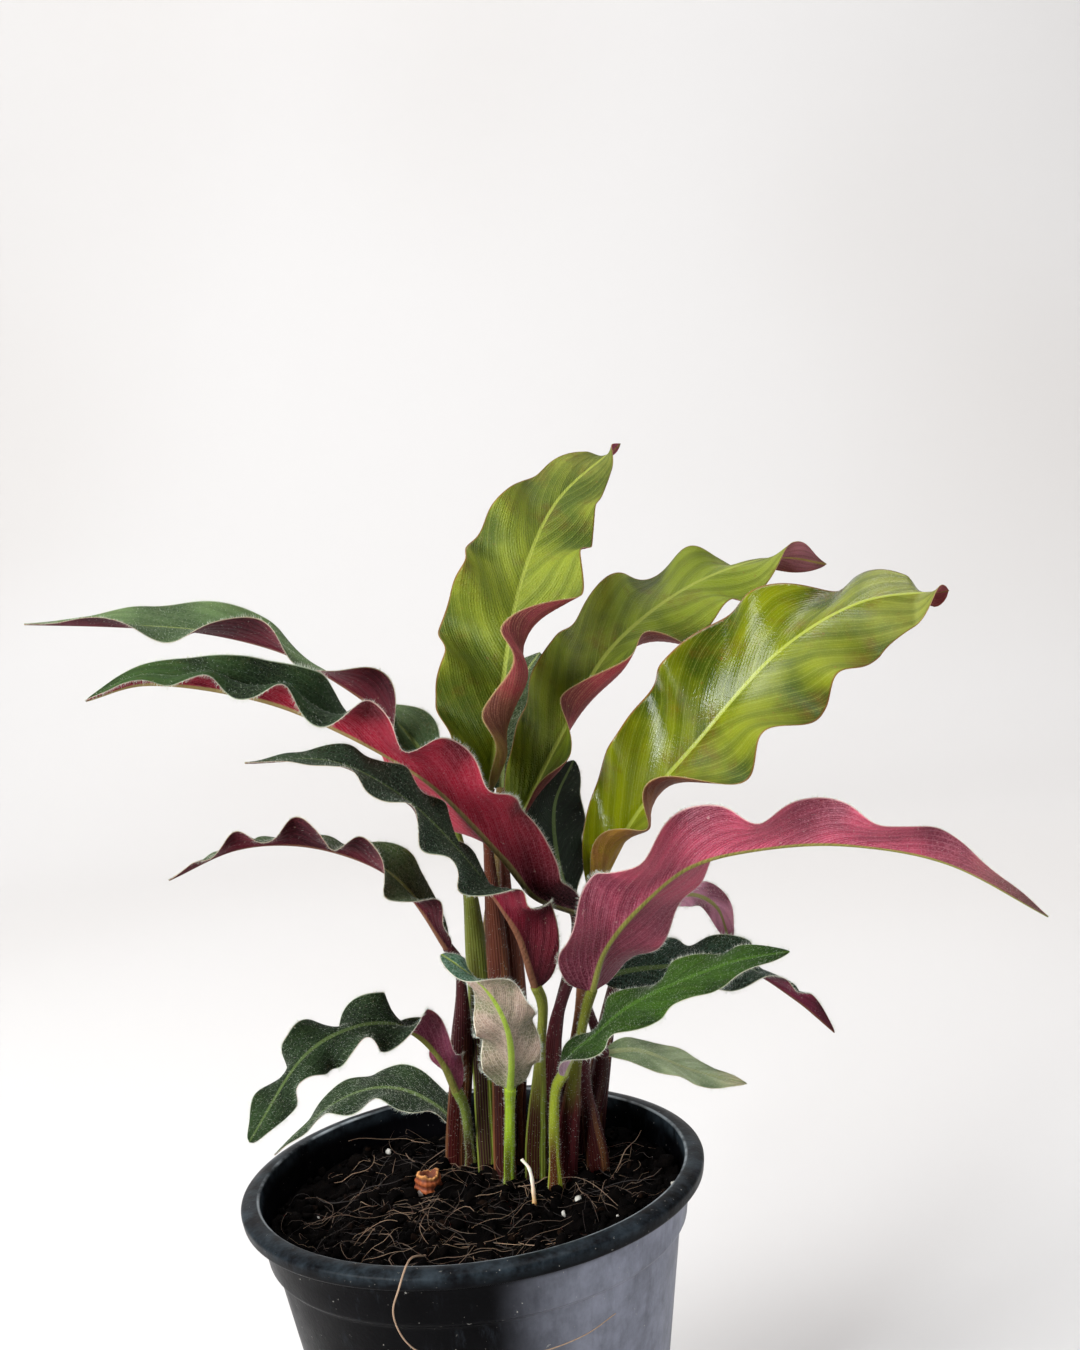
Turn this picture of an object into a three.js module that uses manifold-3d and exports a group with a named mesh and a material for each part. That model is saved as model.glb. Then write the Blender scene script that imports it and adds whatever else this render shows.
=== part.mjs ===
// Potted velvet calathea: a clump of wavy, velvety prayer-plant leaves in a black nursery pot.
// Millimetres, +Z up. The origin is the centre of the pot's flat base, with +X to the right
// and +Y away from the front. Heights in the leaf list are measured from the base too.

import * as THREE from 'three';
import { mergeVertices } from 'three/addons/utils/BufferGeometryUtils.js';
import Module from 'manifold-3d';

const wasm = await Module();
wasm.setup();

// Gap kept between two pieces that touch on the real plant.
const CLEARANCE = 0.35;

// Pot: a thin tapered wall with a stacking ledge and a rolled flange at the top.
const POT_HEIGHT = 105;
const RIM_RADIUS = 60;
const RIM_CREST_RADIUS = 57.6;
const RIM_INNER_RADIUS = 55;
const RIM_BAND_HEIGHT = 4.4;
const COLLAR_RADIUS = 56.2;
const LEDGE_DROP = 16.5;
const LEDGE_STEP = 1.7;
const BASE_RADIUS = 37.5;
const WALL = 1.5;
const POT_SEGMENTS = 40;
const DRAIN_HOLES = 6;
const DRAIN_RADIUS = 4;
const DRAIN_CIRCLE = 27;

// Soil: fills the pot to a little under the rim, with clods and coir fibres on its surface.
const SOIL_LEVEL = 97;
const SOIL_TILT = [0.02, -0.045];
const SOIL_RINGS = 8;
const SOIL_SEGMENTS = 32;
const FIBRES = 26;
const FIBRE_RADIUS = 0.45;

// Leaves: a blade is a thin sheet with a keel under its midrib, a stalk is a tapered tube.
const BLADE_HALF_THICKNESS = 0.35;
const KEEL_DEPTH = 0.9;
const BLADE_FOOT = 1.3;
const WAVE_SPREAD = 0.6;
const FOOT_GAP = 0.6;
const ROOT_DEPTH = 9;
const STALK_SIDES = 7;
const STALK_STEPS = 8;

// Shares of a stalk's length up to which its sheath is full and where it has become slim.
const SHEATH = [0.25, 0.75];
const NO_ROLL = [0.9, 0];

const YOUNG = '#7f8f24';
const MATURE = '#34502c';
const GREYED = '#6f8468';
const WINE = '#7a2c42';
const DARK_WINE = '#4a1824';
const LIME = '#8f9a2e';
const TAN = '#8a6a3a';

// One entry for each leaf. root is where its stalk enters the soil, via are points on the way
// up, and midrib runs from the blade's foot to its tip. half is the widest half-width and face
// is the way the upper side looks at even stations from foot to tip. belly holds how fast the
// outline fills out after the foot and how fast it draws in to the tip. waves holds how many
// there are, how much they crowd to the tip and how far they sweep forward on their way to the
// margin. left and right are the two halves of the blade, seen from above with the tip ahead:
// lift is the angle in degrees by which a half rises from flat at the midrib and curl how much
// steeper it is at the margin, each at even stations from foot to tip. swing and phase are
// those of its waves. Where there is a roll, the blade turns over about its midrib towards the
// tip: the share of its length where that starts, and the turn in degrees at the tip. A sheath
// differs from SHEATH where a stalk keeps its full width further up.
const LEAVES = [
  {
    name: 'leaf_top', blade: YOUNG, stalk: TAN, size: 'large',
    half: 19, belly: [0.5, 0.85], waves: [5, 0, 0.1], root: [8.5, 8],
    via: [[12, 10, 140]],
    midrib: [[15, 10, 201], [21, 12, 226], [29, 20, 252], [42, 32, 273], [62, 42, 287]],
    face: [[-0.2, -0.95, 0.2], [-0.25, -0.9, 0.35], [-0.35, -0.8, 0.5]],
    roll: [0.92, -100], sheath: [0.6, 0.9],
    left: { lift: [40, 20, 25, 20, -20], curl: [0, 0, 0, 0, 0], swing: 45, phase: 0.08 },
    right: { lift: [20, 10, 0, -10, 10], curl: [130, 150, 20, 0, 40], swing: 30, phase: 0.6 },
  },
  {
    name: 'leaf_upper_middle', blade: YOUNG, stalk: TAN, size: 'large',
    half: 16, belly: [0.6, 0.8], waves: [5, 0, 0.1], root: [11, 14],
    via: [[16, 15, 140]],
    midrib: [
      [21, 15, 190], [35, 20, 210], [52, 28, 232], [77, 40, 246], [103, 50, 251], [120, 56, 247],
    ],
    face: [[-0.4, -0.85, 0.4], [-0.3, -0.85, 0.5], [-0.2, -0.6, 0.8]],
    roll: [0.78, -105], sheath: [0.6, 0.9],
    left: { lift: [30, 20, 0, -25, -25], curl: [0, 0, 0, 0, 0], swing: 48, phase: 0.95 },
    right: { lift: [25, 20, 0, 0, 30], curl: [60, 110, 0, 0, 60], swing: 38, phase: 0.25 },
  },
  {
    name: 'leaf_upper_right', blade: YOUNG, stalk: TAN, size: 'large',
    half: 20, belly: [0.75, 0.65], waves: [5, 0, 0.1], root: [25, 14],
    via: [[33, 13, 138]],
    midrib: [
      [39, 12, 169], [52, 4, 191], [68, -6, 210], [88, -15, 231], [108, -22, 242], [129, -26, 243],
    ],
    face: [[-0.5, -0.8, 0.4], [-0.3, -0.85, 0.5], [-0.2, -0.9, 0.4]],
    roll: [0.93, -110],
    left: { lift: [35, 20, 5, -40, -45], curl: [0, 0, 0, 0, 0], swing: 29, phase: 0.05 },
    right: { lift: [50, 30, 15, 0, 0], curl: [110, 60, 0, 0, 0], swing: 40, phase: 0.85 },
  },
  {
    name: 'leaf_upper_left', blade: MATURE, stalk: LIME, size: 'large',
    half: 11, belly: [0.6, 0.8], waves: [3.45, 0, 0.04], root: [4.5, 13.5],
    via: [[7, 16, 148], [7, 17, 178]],
    midrib: [
      [3, 18, 198], [-1, 19, 211], [-10, 19, 223], [-22, 18, 234], [-35, 16, 243], [-54, 13, 250],
      [-75, 10, 254], [-96, 6, 257],
    ],
    face: [[-0.6, -0.7, 0.4], [-0.1, -0.2, 0.95], [0, -0.1, 1], [0, -0.1, 1], [0, -0.1, 1]],
    sheath: [0.6, 0.9],
    left: {
      lift: [20, 30, 48, 24, 24, 12, 10, 15, 10], curl: [0, 0, 0, 0, 0, 0, 0, 0, 0],
      swing: 42, phase: 0.32,
    },
    right: {
      lift: [70, 30, -20, -10, 28, 45, 40, 10, 0], curl: [0, 0, 0, 0, 0, 0, 0, 0, 0],
      swing: 12, phase: 0.3,
    },
  },
  {
    name: 'leaf_left_long', blade: MATURE, stalk: DARK_WINE, size: 'large',
    half: 13, belly: [0.4, 0.65], waves: [3.4, 1, 0.04], root: [21.5, 8.5],
    via: [[26, 8, 138]],
    midrib: [
      [34, 3, 168], [23, -1, 175], [15, -7, 188], [-1, -16, 210], [-24, -24, 228], [-42, -28, 237],
      [-62, -31, 242], [-76, -33, 240],
    ],
    face: [[-0.3, -0.1, 0.95], [-0.5, 0.1, 0.85], [0, 0.1, 1]],
    left: {
      lift: [50, 32, 15, 0, 12, 50, 90, 90, 50], curl: [0, 0, 0, 0, -20, -120, -170, -160, -60],
      swing: 40, phase: 0.4,
    },
    right: {
      lift: [62, 60, 42, 30, 45, 85, 88, 60, 30], curl: [0, 0, 0, 0, 0, 0, 0, 0, 0],
      swing: 12, phase: 0.75,
    },
  },
  {
    name: 'leaf_left_middle', blade: MATURE, stalk: LIME, size: 'medium',
    half: 12.5, belly: [0.45, 0.8], waves: [6.5, 0, 0.04], root: [16.5, 4],
    via: [[20.3, -1, 132]],
    midrib: [
      [21, -6, 152], [16, -12, 172], [5, -22, 193], [-7, -30, 209], [-22, -36, 220], [-41, -42, 223],
    ],
    face: [[0.9, 0.2, 0.5], [0.2, 0.1, 1], [0, 0.1, 1]],
    left: {
      lift: [65, 78, 20, -38, -45, -25, -20, -5, 0], curl: [0, 0, 0, 0, 0, 0, 0, 0, 0],
      swing: 20, phase: 0.21,
    },
    right: {
      lift: [70, 20, 18, 30, 42, 42, 38, 20, 0], curl: [0, 0, 0, 0, 0, 0, 0, 0, 0],
      swing: 12, phase: 0.3,
    },
  },
  {
    name: 'leaf_left_low', blade: MATURE, stalk: DARK_WINE, size: 'medium',
    half: 9.5, belly: [0.6, 0.8], waves: [2.7, 0.9, 0.04], root: [-4, 25],
    via: [[0, 16, 127]],
    midrib: [[0, 8, 161], [-7, 4, 176], [-16, 0, 187], [-32, -4, 195], [-49, -8, 197], [-66, -12, 192]],
    face: [[0.7, 0, 0.7], [0, 0.1, 1], [0, 0.1, 1]],
    sheath: [0.6, 0.9],
    left: {
      lift: [40, 20, -25, 0, 25, 32, 25, 20, 10], curl: [0, 0, 0, 0, 0, 0, 0, 0, 0],
      swing: 40, phase: 0.72,
    },
    right: { lift: [40, 55, 10, 0, 0], curl: [0, 0, 0, 0, 0], swing: 15, phase: 0.3 },
  },
  {
    name: 'leaf_lower_left', blade: MATURE, stalk: LIME, size: 'medium',
    half: 8, belly: [0.5, 0.5], waves: [4.4, 0, 0.05], root: [0, 19],
    via: [],
    midrib: [
      [-2, 4, 124], [-6, -2, 137], [-14, -8, 147], [-26, -14, 150], [-39, -19, 145], [-53, -24, 128],
    ],
    face: [[0.7, 0, 0.7], [-0.1, -0.6, 0.8], [-0.6, -0.7, 0.5]],
    sheath: [0, 0.4],
    left: { lift: [80, 80, -10, -10, 0], curl: [0, 0, 0, 0, 0], swing: 60, phase: 0.03 },
    right: { lift: [0, 0, -5, -5, 0], curl: [0, 0, 0, 0, 0], swing: 75, phase: 0.4 },
  },
  {
    name: 'leaf_rim_left', blade: MATURE, stalk: LIME, size: 'small',
    half: 8, belly: [0.6, 0.8], waves: [3, 0, 0.05], root: [-1, 29.5],
    via: [],
    midrib: [
      [-3, 32.5, 102.5], [-8, 39, 107.5], [-17, 47, 110.8], [-28, 54, 110], [-41, 60, 103.5],
      [-57, 57, 93],
    ],
    face: [[0.3, -0.2, 0.9], [-0.2, -0.3, 0.95], [-0.6, 0.1, 0.8]],
    sheath: [0, 0.4],
    left: { lift: [20, 0, 0, 0, 0], curl: [0, 0, 0, 0, 0], swing: 25, phase: 0.2 },
    right: { lift: [20, 14, 6, 0, 0], curl: [0, 0, 0, 0, 0], swing: 20, phase: 0.3 },
  },
  {
    name: 'leaf_right_long', blade: MATURE, stalk: DARK_WINE, size: 'large',
    half: 14.5, belly: [0.35, 0.85], waves: [5.2, 0, 0.04], root: [24, 3],
    via: [[30, -2, 132]],
    midrib: [
      [35, -5, 149], [39, -10, 161], [48, -18, 173], [60, -25, 183], [76, -32, 187], [96, -39, 187],
      [118, -45, 181], [139, -50, 167],
    ],
    face: [[-0.6, 0.1, 0.8], [-0.1, 0.1, 0.95], [0.3, 0.1, 0.9]],
    left: {
      lift: [-30, -55, -25, -5, -5, -5, -5, 0, 0], curl: [0, 0, 0, 0, 0, 0, 0, 0, 0],
      swing: 8, phase: 0.3,
    },
    right: {
      lift: [60, 52, 50, 56, 58, 60, 55, 45, 30], curl: [0, 0, 0, 0, 0, 0, 0, 0, 0],
      swing: 35, phase: 0.26,
    },
  },
  {
    name: 'leaf_right_small', blade: MATURE, stalk: DARK_WINE, size: 'small',
    half: 4.5, belly: [0.6, 0.8], waves: [2, 0, 0.05], root: [34, 26],
    via: [[46, 33, 142]],
    midrib: [[59, 26, 161], [68, 31, 162], [76, 35, 156], [79, 37, 144]],
    face: [[0, 0.8, 0.5], [0.3, 0.9, 0.3], [0.5, 0.8, 0]],
    left: { lift: [10, 0, 0, 0, 0], curl: [0, 0, 0, 0, 0], swing: 20, phase: 0.2 },
    right: { lift: [30, 20, 10, 0, 0], curl: [0, 0, 0, 0, 0], swing: 20, phase: 0.3 },
  },
  {
    name: 'leaf_right_dark', blade: MATURE, stalk: DARK_WINE, size: 'medium',
    half: 8.5, belly: [0.5, 0.8], waves: [3.5, 0, 0.05], root: [30, 20],
    via: [[38, 21, 122]],
    midrib: [[40, 18, 145], [49, 19, 146], [65, 23, 144], [81, 28, 140], [95, 33, 128], [106, 35, 116]],
    face: [[-0.2, -0.4, 0.9], [0, -0.4, 0.9], [0.6, 0, 0.8]],
    left: { lift: [20, 30, 30, 0, 0], curl: [0, 0, 0, 0, 0], swing: 40, phase: 0.6 },
    right: { lift: [-50, -20, 0, 60, 60], curl: [0, 0, 0, 0, 0], swing: 36, phase: 0.25 },
  },
  {
    name: 'leaf_right_bright', blade: MATURE, stalk: LIME, size: 'medium',
    half: 7, belly: [0.5, 0.7], waves: [3.5, 0, 0.05], root: [21, -3],
    via: [],
    midrib: [
      [25.3, -6.6, 128.5], [28.3, -8.8, 134.5], [34, -11.5, 139.5], [43, -15, 147], [55, -20, 153],
      [69, -25, 158], [82, -29, 160],
    ],
    face: [[-0.5, -0.5, 0.8], [-0.4, -0.6, 0.8], [-0.2, -0.6, 0.8]],
    sheath: [0, 0.5],
    left: { lift: [0, -25, -20, 0, 0], curl: [0, 0, 0, 0, 0], swing: 32, phase: 0.2 },
    right: { lift: [60, 0, -10, 0, 0], curl: [0, 0, 0, 0, 0], swing: 32, phase: 0.3 },
  },
  {
    name: 'leaf_right_pale', blade: GREYED, stalk: DARK_WINE, size: 'small',
    half: 5.5, belly: [0.6, 0.8], waves: [2, 0, 0.05], root: [33, 6],
    via: [],
    midrib: [[38, 8, 128], [48, 11, 126], [62, 16, 117], [77, 20, 110]],
    face: [[0.4, -0.5, 0.8], [0.4, -0.5, 0.8], [0.4, -0.5, 0.8]],
    left: { lift: [0, 0, 0, 0, 0], curl: [0, 0, 0, 0, 0], swing: 18, phase: 0.2 },
    right: { lift: [0, 0, 0, 0, 0], curl: [0, 0, 0, 0, 0], swing: 18, phase: 0.3 },
  },
  {
    name: 'leaf_front', blade: WINE, stalk: LIME, size: 'small',
    half: 8, belly: [0.3, 0.55], waves: [3, 0, 0.05], root: [9, 0],
    via: [[10, -5, 112]],
    midrib: [
      [11.5, -10, 128], [12.5, -17, 140], [11.5, -22, 150], [8, -25, 159], [2.5, -26, 165],
      [-2, -24, 168.5],
    ],
    face: [[0, 0.95, 0.2], [0.2, 0.7, 0.6], [0.2, -0.4, 0.9]],
    sheath: [0, 0.35],
    left: { lift: [20, 28, 28, 10, 0], curl: [0, 0, 0, 0, 0], swing: 28, phase: 0.2 },
    right: { lift: [20, 5, 0, 0, 0], curl: [0, 0, 0, 0, 0], swing: 30, phase: 0.45 },
  },
  {
    name: 'leaf_back_dark', blade: MATURE, stalk: DARK_WINE, size: 'small',
    half: 9, belly: [0.6, 0.7], waves: [2.5, 0, 0.05], root: [18, 16],
    via: [[27, 19, 135]],
    midrib: [[34, 20, 166], [32, 24, 177], [33, 30, 191], [40, 36, 202]],
    face: [[-0.5, -0.8, 0.2], [-0.3, -0.8, 0.4], [-0.2, -0.7, 0.6]],
    left: { lift: [20, 10, 0, 0, 0], curl: [0, 0, 0, 0, 0], swing: 20, phase: 0.2 },
    right: { lift: [20, 10, 0, 0, 0], curl: [0, 0, 0, 0, 0], swing: 20, phase: 0.3 },
  },
  {
    name: 'leaf_back_grey', blade: GREYED, stalk: TAN, size: 'small',
    half: 11, belly: [0.6, 0.8], waves: [2.5, 0, 0.05], root: [7, 19],
    via: [[11, 24, 150]],
    midrib: [[19, 30, 197], [22, 36, 212], [27, 44, 223], [35, 54, 231]],
    face: [[-0.2, -0.8, 0.4], [-0.2, -0.7, 0.6], [-0.2, -0.5, 0.8]],
    sheath: [0.6, 0.9],
    left: { lift: [20, 10, 0, 0, 0], curl: [0, 0, 0, 0, 0], swing: 20, phase: 0.2 },
    right: { lift: [20, 10, 0, 0, 0], curl: [0, 0, 0, 0, 0], swing: 20, phase: 0.3 },
  },
];

// How finely a blade is divided, along it and across each half.
const GRAIN = {
  large: { rows: 22, across: [0, 0.28, 0.56, 0.8, 1] },
  medium: { rows: 17, across: [0, 0.28, 0.56, 0.8, 1] },
  small: { rows: 11, across: [0, 0.35, 0.72, 1] },
};

const radians = THREE.MathUtils.degToRad;

function smoothCurve(points) {
  const vectors = points.map((p) => new THREE.Vector3(...p));
  return new THREE.CatmullRomCurve3(vectors, false, 'catmullrom', 0.5);
}

// Value at t, from 0 to 1, of evenly spaced stations joined by straight lines with eased ends.
function blend(stations, t) {
  const place = Math.min(t, 0.9999) * (stations.length - 1);
  const step = Math.floor(place);
  const ease = THREE.MathUtils.smoothstep(place - step, 0, 1);
  return stations[step] * (1 - ease) + stations[step + 1] * ease;
}

// Share of the full half-width at t: a rounded foot, widest near the middle, a drawn-out tip.
function outline([rise, fall], t) {
  const peak = rise / (rise + fall);
  const top = Math.pow(peak, rise) * Math.pow(1 - peak, fall);
  return (Math.pow(t, rise) * Math.pow(1 - t, fall)) / top;
}

// Angle in degrees between one half of the blade and flat, at t along it and s across it.
function slope(half, [count, crowd, sweep], t, s) {
  const fade = Math.min(1, 6 * t) * Math.min(1, 5 * (1 - t));
  const start = Math.max(0, t - sweep * s);
  const wave = Math.sin(2 * Math.PI * (count * (start + crowd * start * start) + half.phase));
  const reach = half.swing * fade * Math.pow(s, WAVE_SPREAD);
  return blend(half.lift, start) + blend(half.curl, start) * s + reach * wave;
}

// Turns lists of points and triangles into a geometry with shared vertices.
function solidFrom(points, triangles) {
  const geometry = new THREE.BufferGeometry();
  geometry.setAttribute('position', new THREE.Float32BufferAttribute(points.flat(), 3));
  geometry.setIndex(triangles.flat());
  return geometry;
}

// The middle sheet of a blade, as rows of points from the left margin to the right one.
// Each half is carried out from the midrib in short straight steps whose angle is slope().
function bladeSheet(leaf) {
  const { rows, across } = GRAIN[leaf.size];
  const spine = smoothCurve(leaf.midrib);
  const faces = leaf.face.map((f) => new THREE.Vector3(...f));
  const [rollStart, rollTurn] = leaf.roll ?? NO_ROLL;
  const sheet = [];
  for (let i = 0; i < rows; i += 1) {
    const t = i / rows;
    const centre = spine.getPointAt(t);
    const ahead = spine.getTangentAt(t);
    const [x, y, z] = ['x', 'y', 'z'].map((axis) => blend(faces.map((f) => f[axis]), t));
    const up = new THREE.Vector3(x, y, z).projectOnPlane(ahead).normalize();
    up.applyAxisAngle(ahead, radians(rollTurn) * THREE.MathUtils.smoothstep(t, rollStart, 1));
    const aside = new THREE.Vector3().crossVectors(ahead, up);
    const width = Math.max(BLADE_FOOT, leaf.half * outline(leaf.belly, t));
    const row = [centre];
    for (const side of [leaf.left, leaf.right]) {
      const sign = side === leaf.left ? -1 : 1;
      const point = centre.clone();
      for (let j = 1; j < across.length; j += 1) {
        const reach = (across[j] - across[j - 1]) * width;
        const middle = (across[j] + across[j - 1]) / 2;
        const angle = radians(slope(side, leaf.waves, t, middle));
        point.addScaledVector(aside, sign * reach * Math.cos(angle));
        point.addScaledVector(up, reach * Math.sin(angle));
        if (sign < 0) row.unshift(point.clone());
        else row.push(point.clone());
      }
    }
    sheet.push(row);
  }
  return { sheet, tip: spine.getPointAt(1) };
}

// A blade: the sheet moved out by half a thickness to each side, and further at the keel.
// Both sides are split into triangles alike, and the tip closes on one short upright edge.
function bladeGeometry(leaf) {
  const { sheet, tip } = bladeSheet(leaf);
  const rows = sheet.length;
  const columns = sheet[0].length;
  const centreColumn = (columns - 1) / 2;
  const upper = (i, j) => i * columns + j;
  const points = [];
  const underside = [];
  for (let i = 0; i < rows; i += 1) {
    for (let j = 0; j < columns; j += 1) {
      const after = i + 1 < rows ? sheet[i + 1][j] : tip;
      const before = sheet[Math.max(0, i - 1)][j];
      const along = new THREE.Vector3().subVectors(after, before);
      const rightward = sheet[i][Math.min(columns - 1, j + 1)].clone();
      rightward.sub(sheet[i][Math.max(0, j - 1)]);
      const normal = new THREE.Vector3().crossVectors(rightward, along).normalize();
      const keel = j === centreColumn ? KEEL_DEPTH * (1 - i / rows) : 0;
      const top = sheet[i][j].clone().addScaledVector(normal, BLADE_HALF_THICKNESS);
      const bottom = sheet[i][j].clone().addScaledVector(normal, -BLADE_HALF_THICKNESS - keel);
      points.push(top.toArray());
      underside.push(bottom.toArray());
    }
  }
  const beneath = points.length;
  points.push(...underside);
  const lastNormal = new THREE.Vector3().crossVectors(
    sheet[rows - 1][columns - 1].clone().sub(sheet[rows - 1][0]),
    tip.clone().sub(sheet[rows - 1][centreColumn]),
  ).normalize();
  const tipTop = points.length;
  points.push(tip.clone().addScaledVector(lastNormal, BLADE_HALF_THICKNESS).toArray());
  points.push(tip.clone().addScaledVector(lastNormal, -BLADE_HALF_THICKNESS).toArray());
  const tipBottom = tipTop + 1;

  const triangles = [];
  const bothFaces = (a, b, c) => {
    triangles.push([a, b, c]);
    const [la, lb, lc] = [a, b, c].map((v) => (v === tipTop ? tipBottom : v + beneath));
    triangles.push([la, lc, lb]);
  };
  const edge = (a, b) => {
    const [la, lb] = [a, b].map((v) => (v === tipTop ? tipBottom : v + beneath));
    triangles.push([a, b, lb], [a, lb, la]);
  };
  for (let i = 0; i + 1 < rows; i += 1) {
    for (let j = 0; j + 1 < columns; j += 1) {
      bothFaces(upper(i, j), upper(i, j + 1), upper(i + 1, j + 1));
      bothFaces(upper(i, j), upper(i + 1, j + 1), upper(i + 1, j));
    }
    edge(upper(i, 0), upper(i + 1, 0));
    edge(upper(i + 1, columns - 1), upper(i, columns - 1));
  }
  for (let j = 0; j + 1 < columns; j += 1) {
    bothFaces(upper(rows - 1, j), upper(rows - 1, j + 1), tipTop);
    edge(upper(0, j + 1), upper(0, j));
  }
  edge(upper(rows - 1, 0), tipTop);
  edge(tipTop, upper(rows - 1, columns - 1));
  return solidFrom(points, triangles);
}

// A closed tube round a curve, with radius(t) at t along it and flat ends. Its first end is
// moved back by deeper.
function tubeGeometry(curve, radius, sides, steps, deeper = 0) {
  const frames = curve.computeFrenetFrames(steps, false);
  const points = [];
  const triangles = [];
  for (let i = 0; i <= steps; i += 1) {
    const centre = curve.getPointAt(i / steps);
    if (i === 0) centre.addScaledVector(frames.tangents[0], -deeper);
    for (let k = 0; k < sides; k += 1) {
      const turn = (2 * Math.PI * k) / sides;
      const point = centre.clone();
      point.addScaledVector(frames.normals[i], radius(i / steps) * Math.cos(turn));
      point.addScaledVector(frames.binormals[i], radius(i / steps) * Math.sin(turn));
      points.push(point.toArray());
    }
  }
  for (let i = 0; i < steps; i += 1) {
    for (let k = 0; k < sides; k += 1) {
      const next = (k + 1) % sides;
      const [a, b] = [i * sides + k, i * sides + next];
      triangles.push([a, b, b + sides], [a, b + sides, a + sides]);
    }
  }
  const last = steps * sides;
  for (let k = 1; k + 1 < sides; k += 1) {
    triangles.push([0, k + 1, k], [last, last + k, last + k + 1]);
  }
  return solidFrom(points, triangles);
}

// The line of a stalk: up from below the soil and into the foot of its blade, end to end.
function stalkCurve(leaf) {
  const spine = smoothCurve(leaf.midrib);
  const ahead = spine.getTangentAt(0);
  const foot = spine.getPointAt(0);
  const top = foot.clone().addScaledVector(ahead, -FOOT_GAP);
  const lead = foot.clone().addScaledVector(ahead, -5);
  const [x, y] = leaf.root;
  const buried = [x, y, SOIL_LEVEL - ROOT_DEPTH];
  const collar = [x, y, SOIL_LEVEL + 1];
  const points = [buried, collar, ...leaf.via, lead.toArray(), top.toArray()];
  return new THREE.CatmullRomCurve3(points.map((p) => new THREE.Vector3(...p)));
}

// Radius of a stalk: a broad sheath below, a slim stalk above and a slight swelling at its top.
function stalkRadius([full, slim], t) {
  const sheath = 2.4 - 1.2 * THREE.MathUtils.smoothstep(t, full, slim);
  return sheath + 0.25 * THREE.MathUtils.smoothstep(t, 0.85, 0.95);
}

function asManifold(geometry) {
  const bare = geometry.clone();
  bare.deleteAttribute('normal');
  bare.deleteAttribute('uv');
  const merged = mergeVertices(bare, 1e-4);
  return new wasm.Manifold(new wasm.Mesh({
    numProp: 3,
    vertProperties: new Float32Array(merged.attributes.position.array),
    triVerts: new Uint32Array(merged.index.array),
  }));
}

function asGeometry(solid) {
  const mesh = solid.getMesh();
  const geometry = new THREE.BufferGeometry();
  geometry.setAttribute('position', new THREE.Float32BufferAttribute(mesh.vertProperties, 3));
  geometry.setIndex(new THREE.Uint32BufferAttribute(mesh.triVerts, 1));
  return geometry;
}

// Outer radius of the pot's tapered lower wall at height z.
function wallRadius(z) {
  const ledge = POT_HEIGHT - LEDGE_DROP;
  const top = COLLAR_RADIUS - LEDGE_STEP - 2;
  return BASE_RADIUS + (top - BASE_RADIUS) * (z / ledge);
}

function potGeometry() {
  const ledge = POT_HEIGHT - LEDGE_DROP;
  const bandFoot = POT_HEIGHT - RIM_BAND_HEIGHT;
  const collarFoot = COLLAR_RADIUS - 2;
  const profile = [
    [0, 0], [BASE_RADIUS - 1, 0], [BASE_RADIUS, 1],
    [wallRadius(ledge), ledge], [collarFoot, ledge + 1], [COLLAR_RADIUS, bandFoot],
    [RIM_RADIUS - 0.5, bandFoot], [RIM_RADIUS, POT_HEIGHT - 1], [RIM_CREST_RADIUS, POT_HEIGHT],
    [RIM_INNER_RADIUS, POT_HEIGHT], [COLLAR_RADIUS - WALL - 0.3, bandFoot],
    [collarFoot - WALL, ledge + 0.4], [wallRadius(ledge) - WALL, ledge - 0.8],
    [BASE_RADIUS - WALL, 2.4], [BASE_RADIUS - WALL - 1, WALL], [0, WALL],
  ].map(([r, z]) => new THREE.Vector2(r, z));
  const shell = new THREE.LatheGeometry(profile, POT_SEGMENTS);
  shell.rotateX(Math.PI / 2);
  let pot = asManifold(shell);
  for (let k = 0; k < DRAIN_HOLES; k += 1) {
    const turn = (2 * Math.PI * (k + 0.5)) / DRAIN_HOLES;
    const drill = new THREE.CylinderGeometry(DRAIN_RADIUS, DRAIN_RADIUS, 4 * WALL, 10);
    drill.rotateX(Math.PI / 2);
    drill.translate(DRAIN_CIRCLE * Math.cos(turn), DRAIN_CIRCLE * Math.sin(turn), 0);
    pot = pot.subtract(asManifold(drill));
  }
  return asGeometry(pot);
}

// Height of the soil's surface: higher at the front, with long swells and shorter clods on them.
function soilHeight(x, y) {
  const level = SOIL_LEVEL + SOIL_TILT[0] * x + SOIL_TILT[1] * y;
  const swell = 1.1 * Math.sin(0.09 * x + 1.2) * Math.cos(0.08 * y - 0.4);
  const clods = 0.8 * Math.sin(0.31 * x + 0.22 * y) * Math.sin(0.27 * y - 0.19 * x + 2);
  return level + swell + clods;
}

// A steady stream of numbers from 0 to 1, the same on every run.
function seededRandom(seed) {
  let state = seed;
  return () => {
    state = (state * 16807) % 2147483647;
    return state / 2147483647;
  };
}

// Coir fibres: thin arched threads, both ends sunk in the soil.
function fibreCurves() {
  const random = seededRandom(41);
  return Array.from({ length: FIBRES }, () => {
    const away = 16 + 28 * Math.sqrt(random());
    const turn = 2 * Math.PI * random();
    const [x, y] = [away * Math.cos(turn), away * Math.sin(turn)];
    const heading = 2 * Math.PI * random();
    const reach = 3.5 + 4 * random();
    const crest = 1 + 1.8 * random();
    return smoothCurve([-1, 0, 1].map((step) => {
      const px = x + step * reach * Math.cos(heading);
      const py = y + step * reach * Math.sin(heading);
      return [px, py, soilHeight(px, py) + (step === 0 ? crest : -1.2)];
    }));
  });
}

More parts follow.
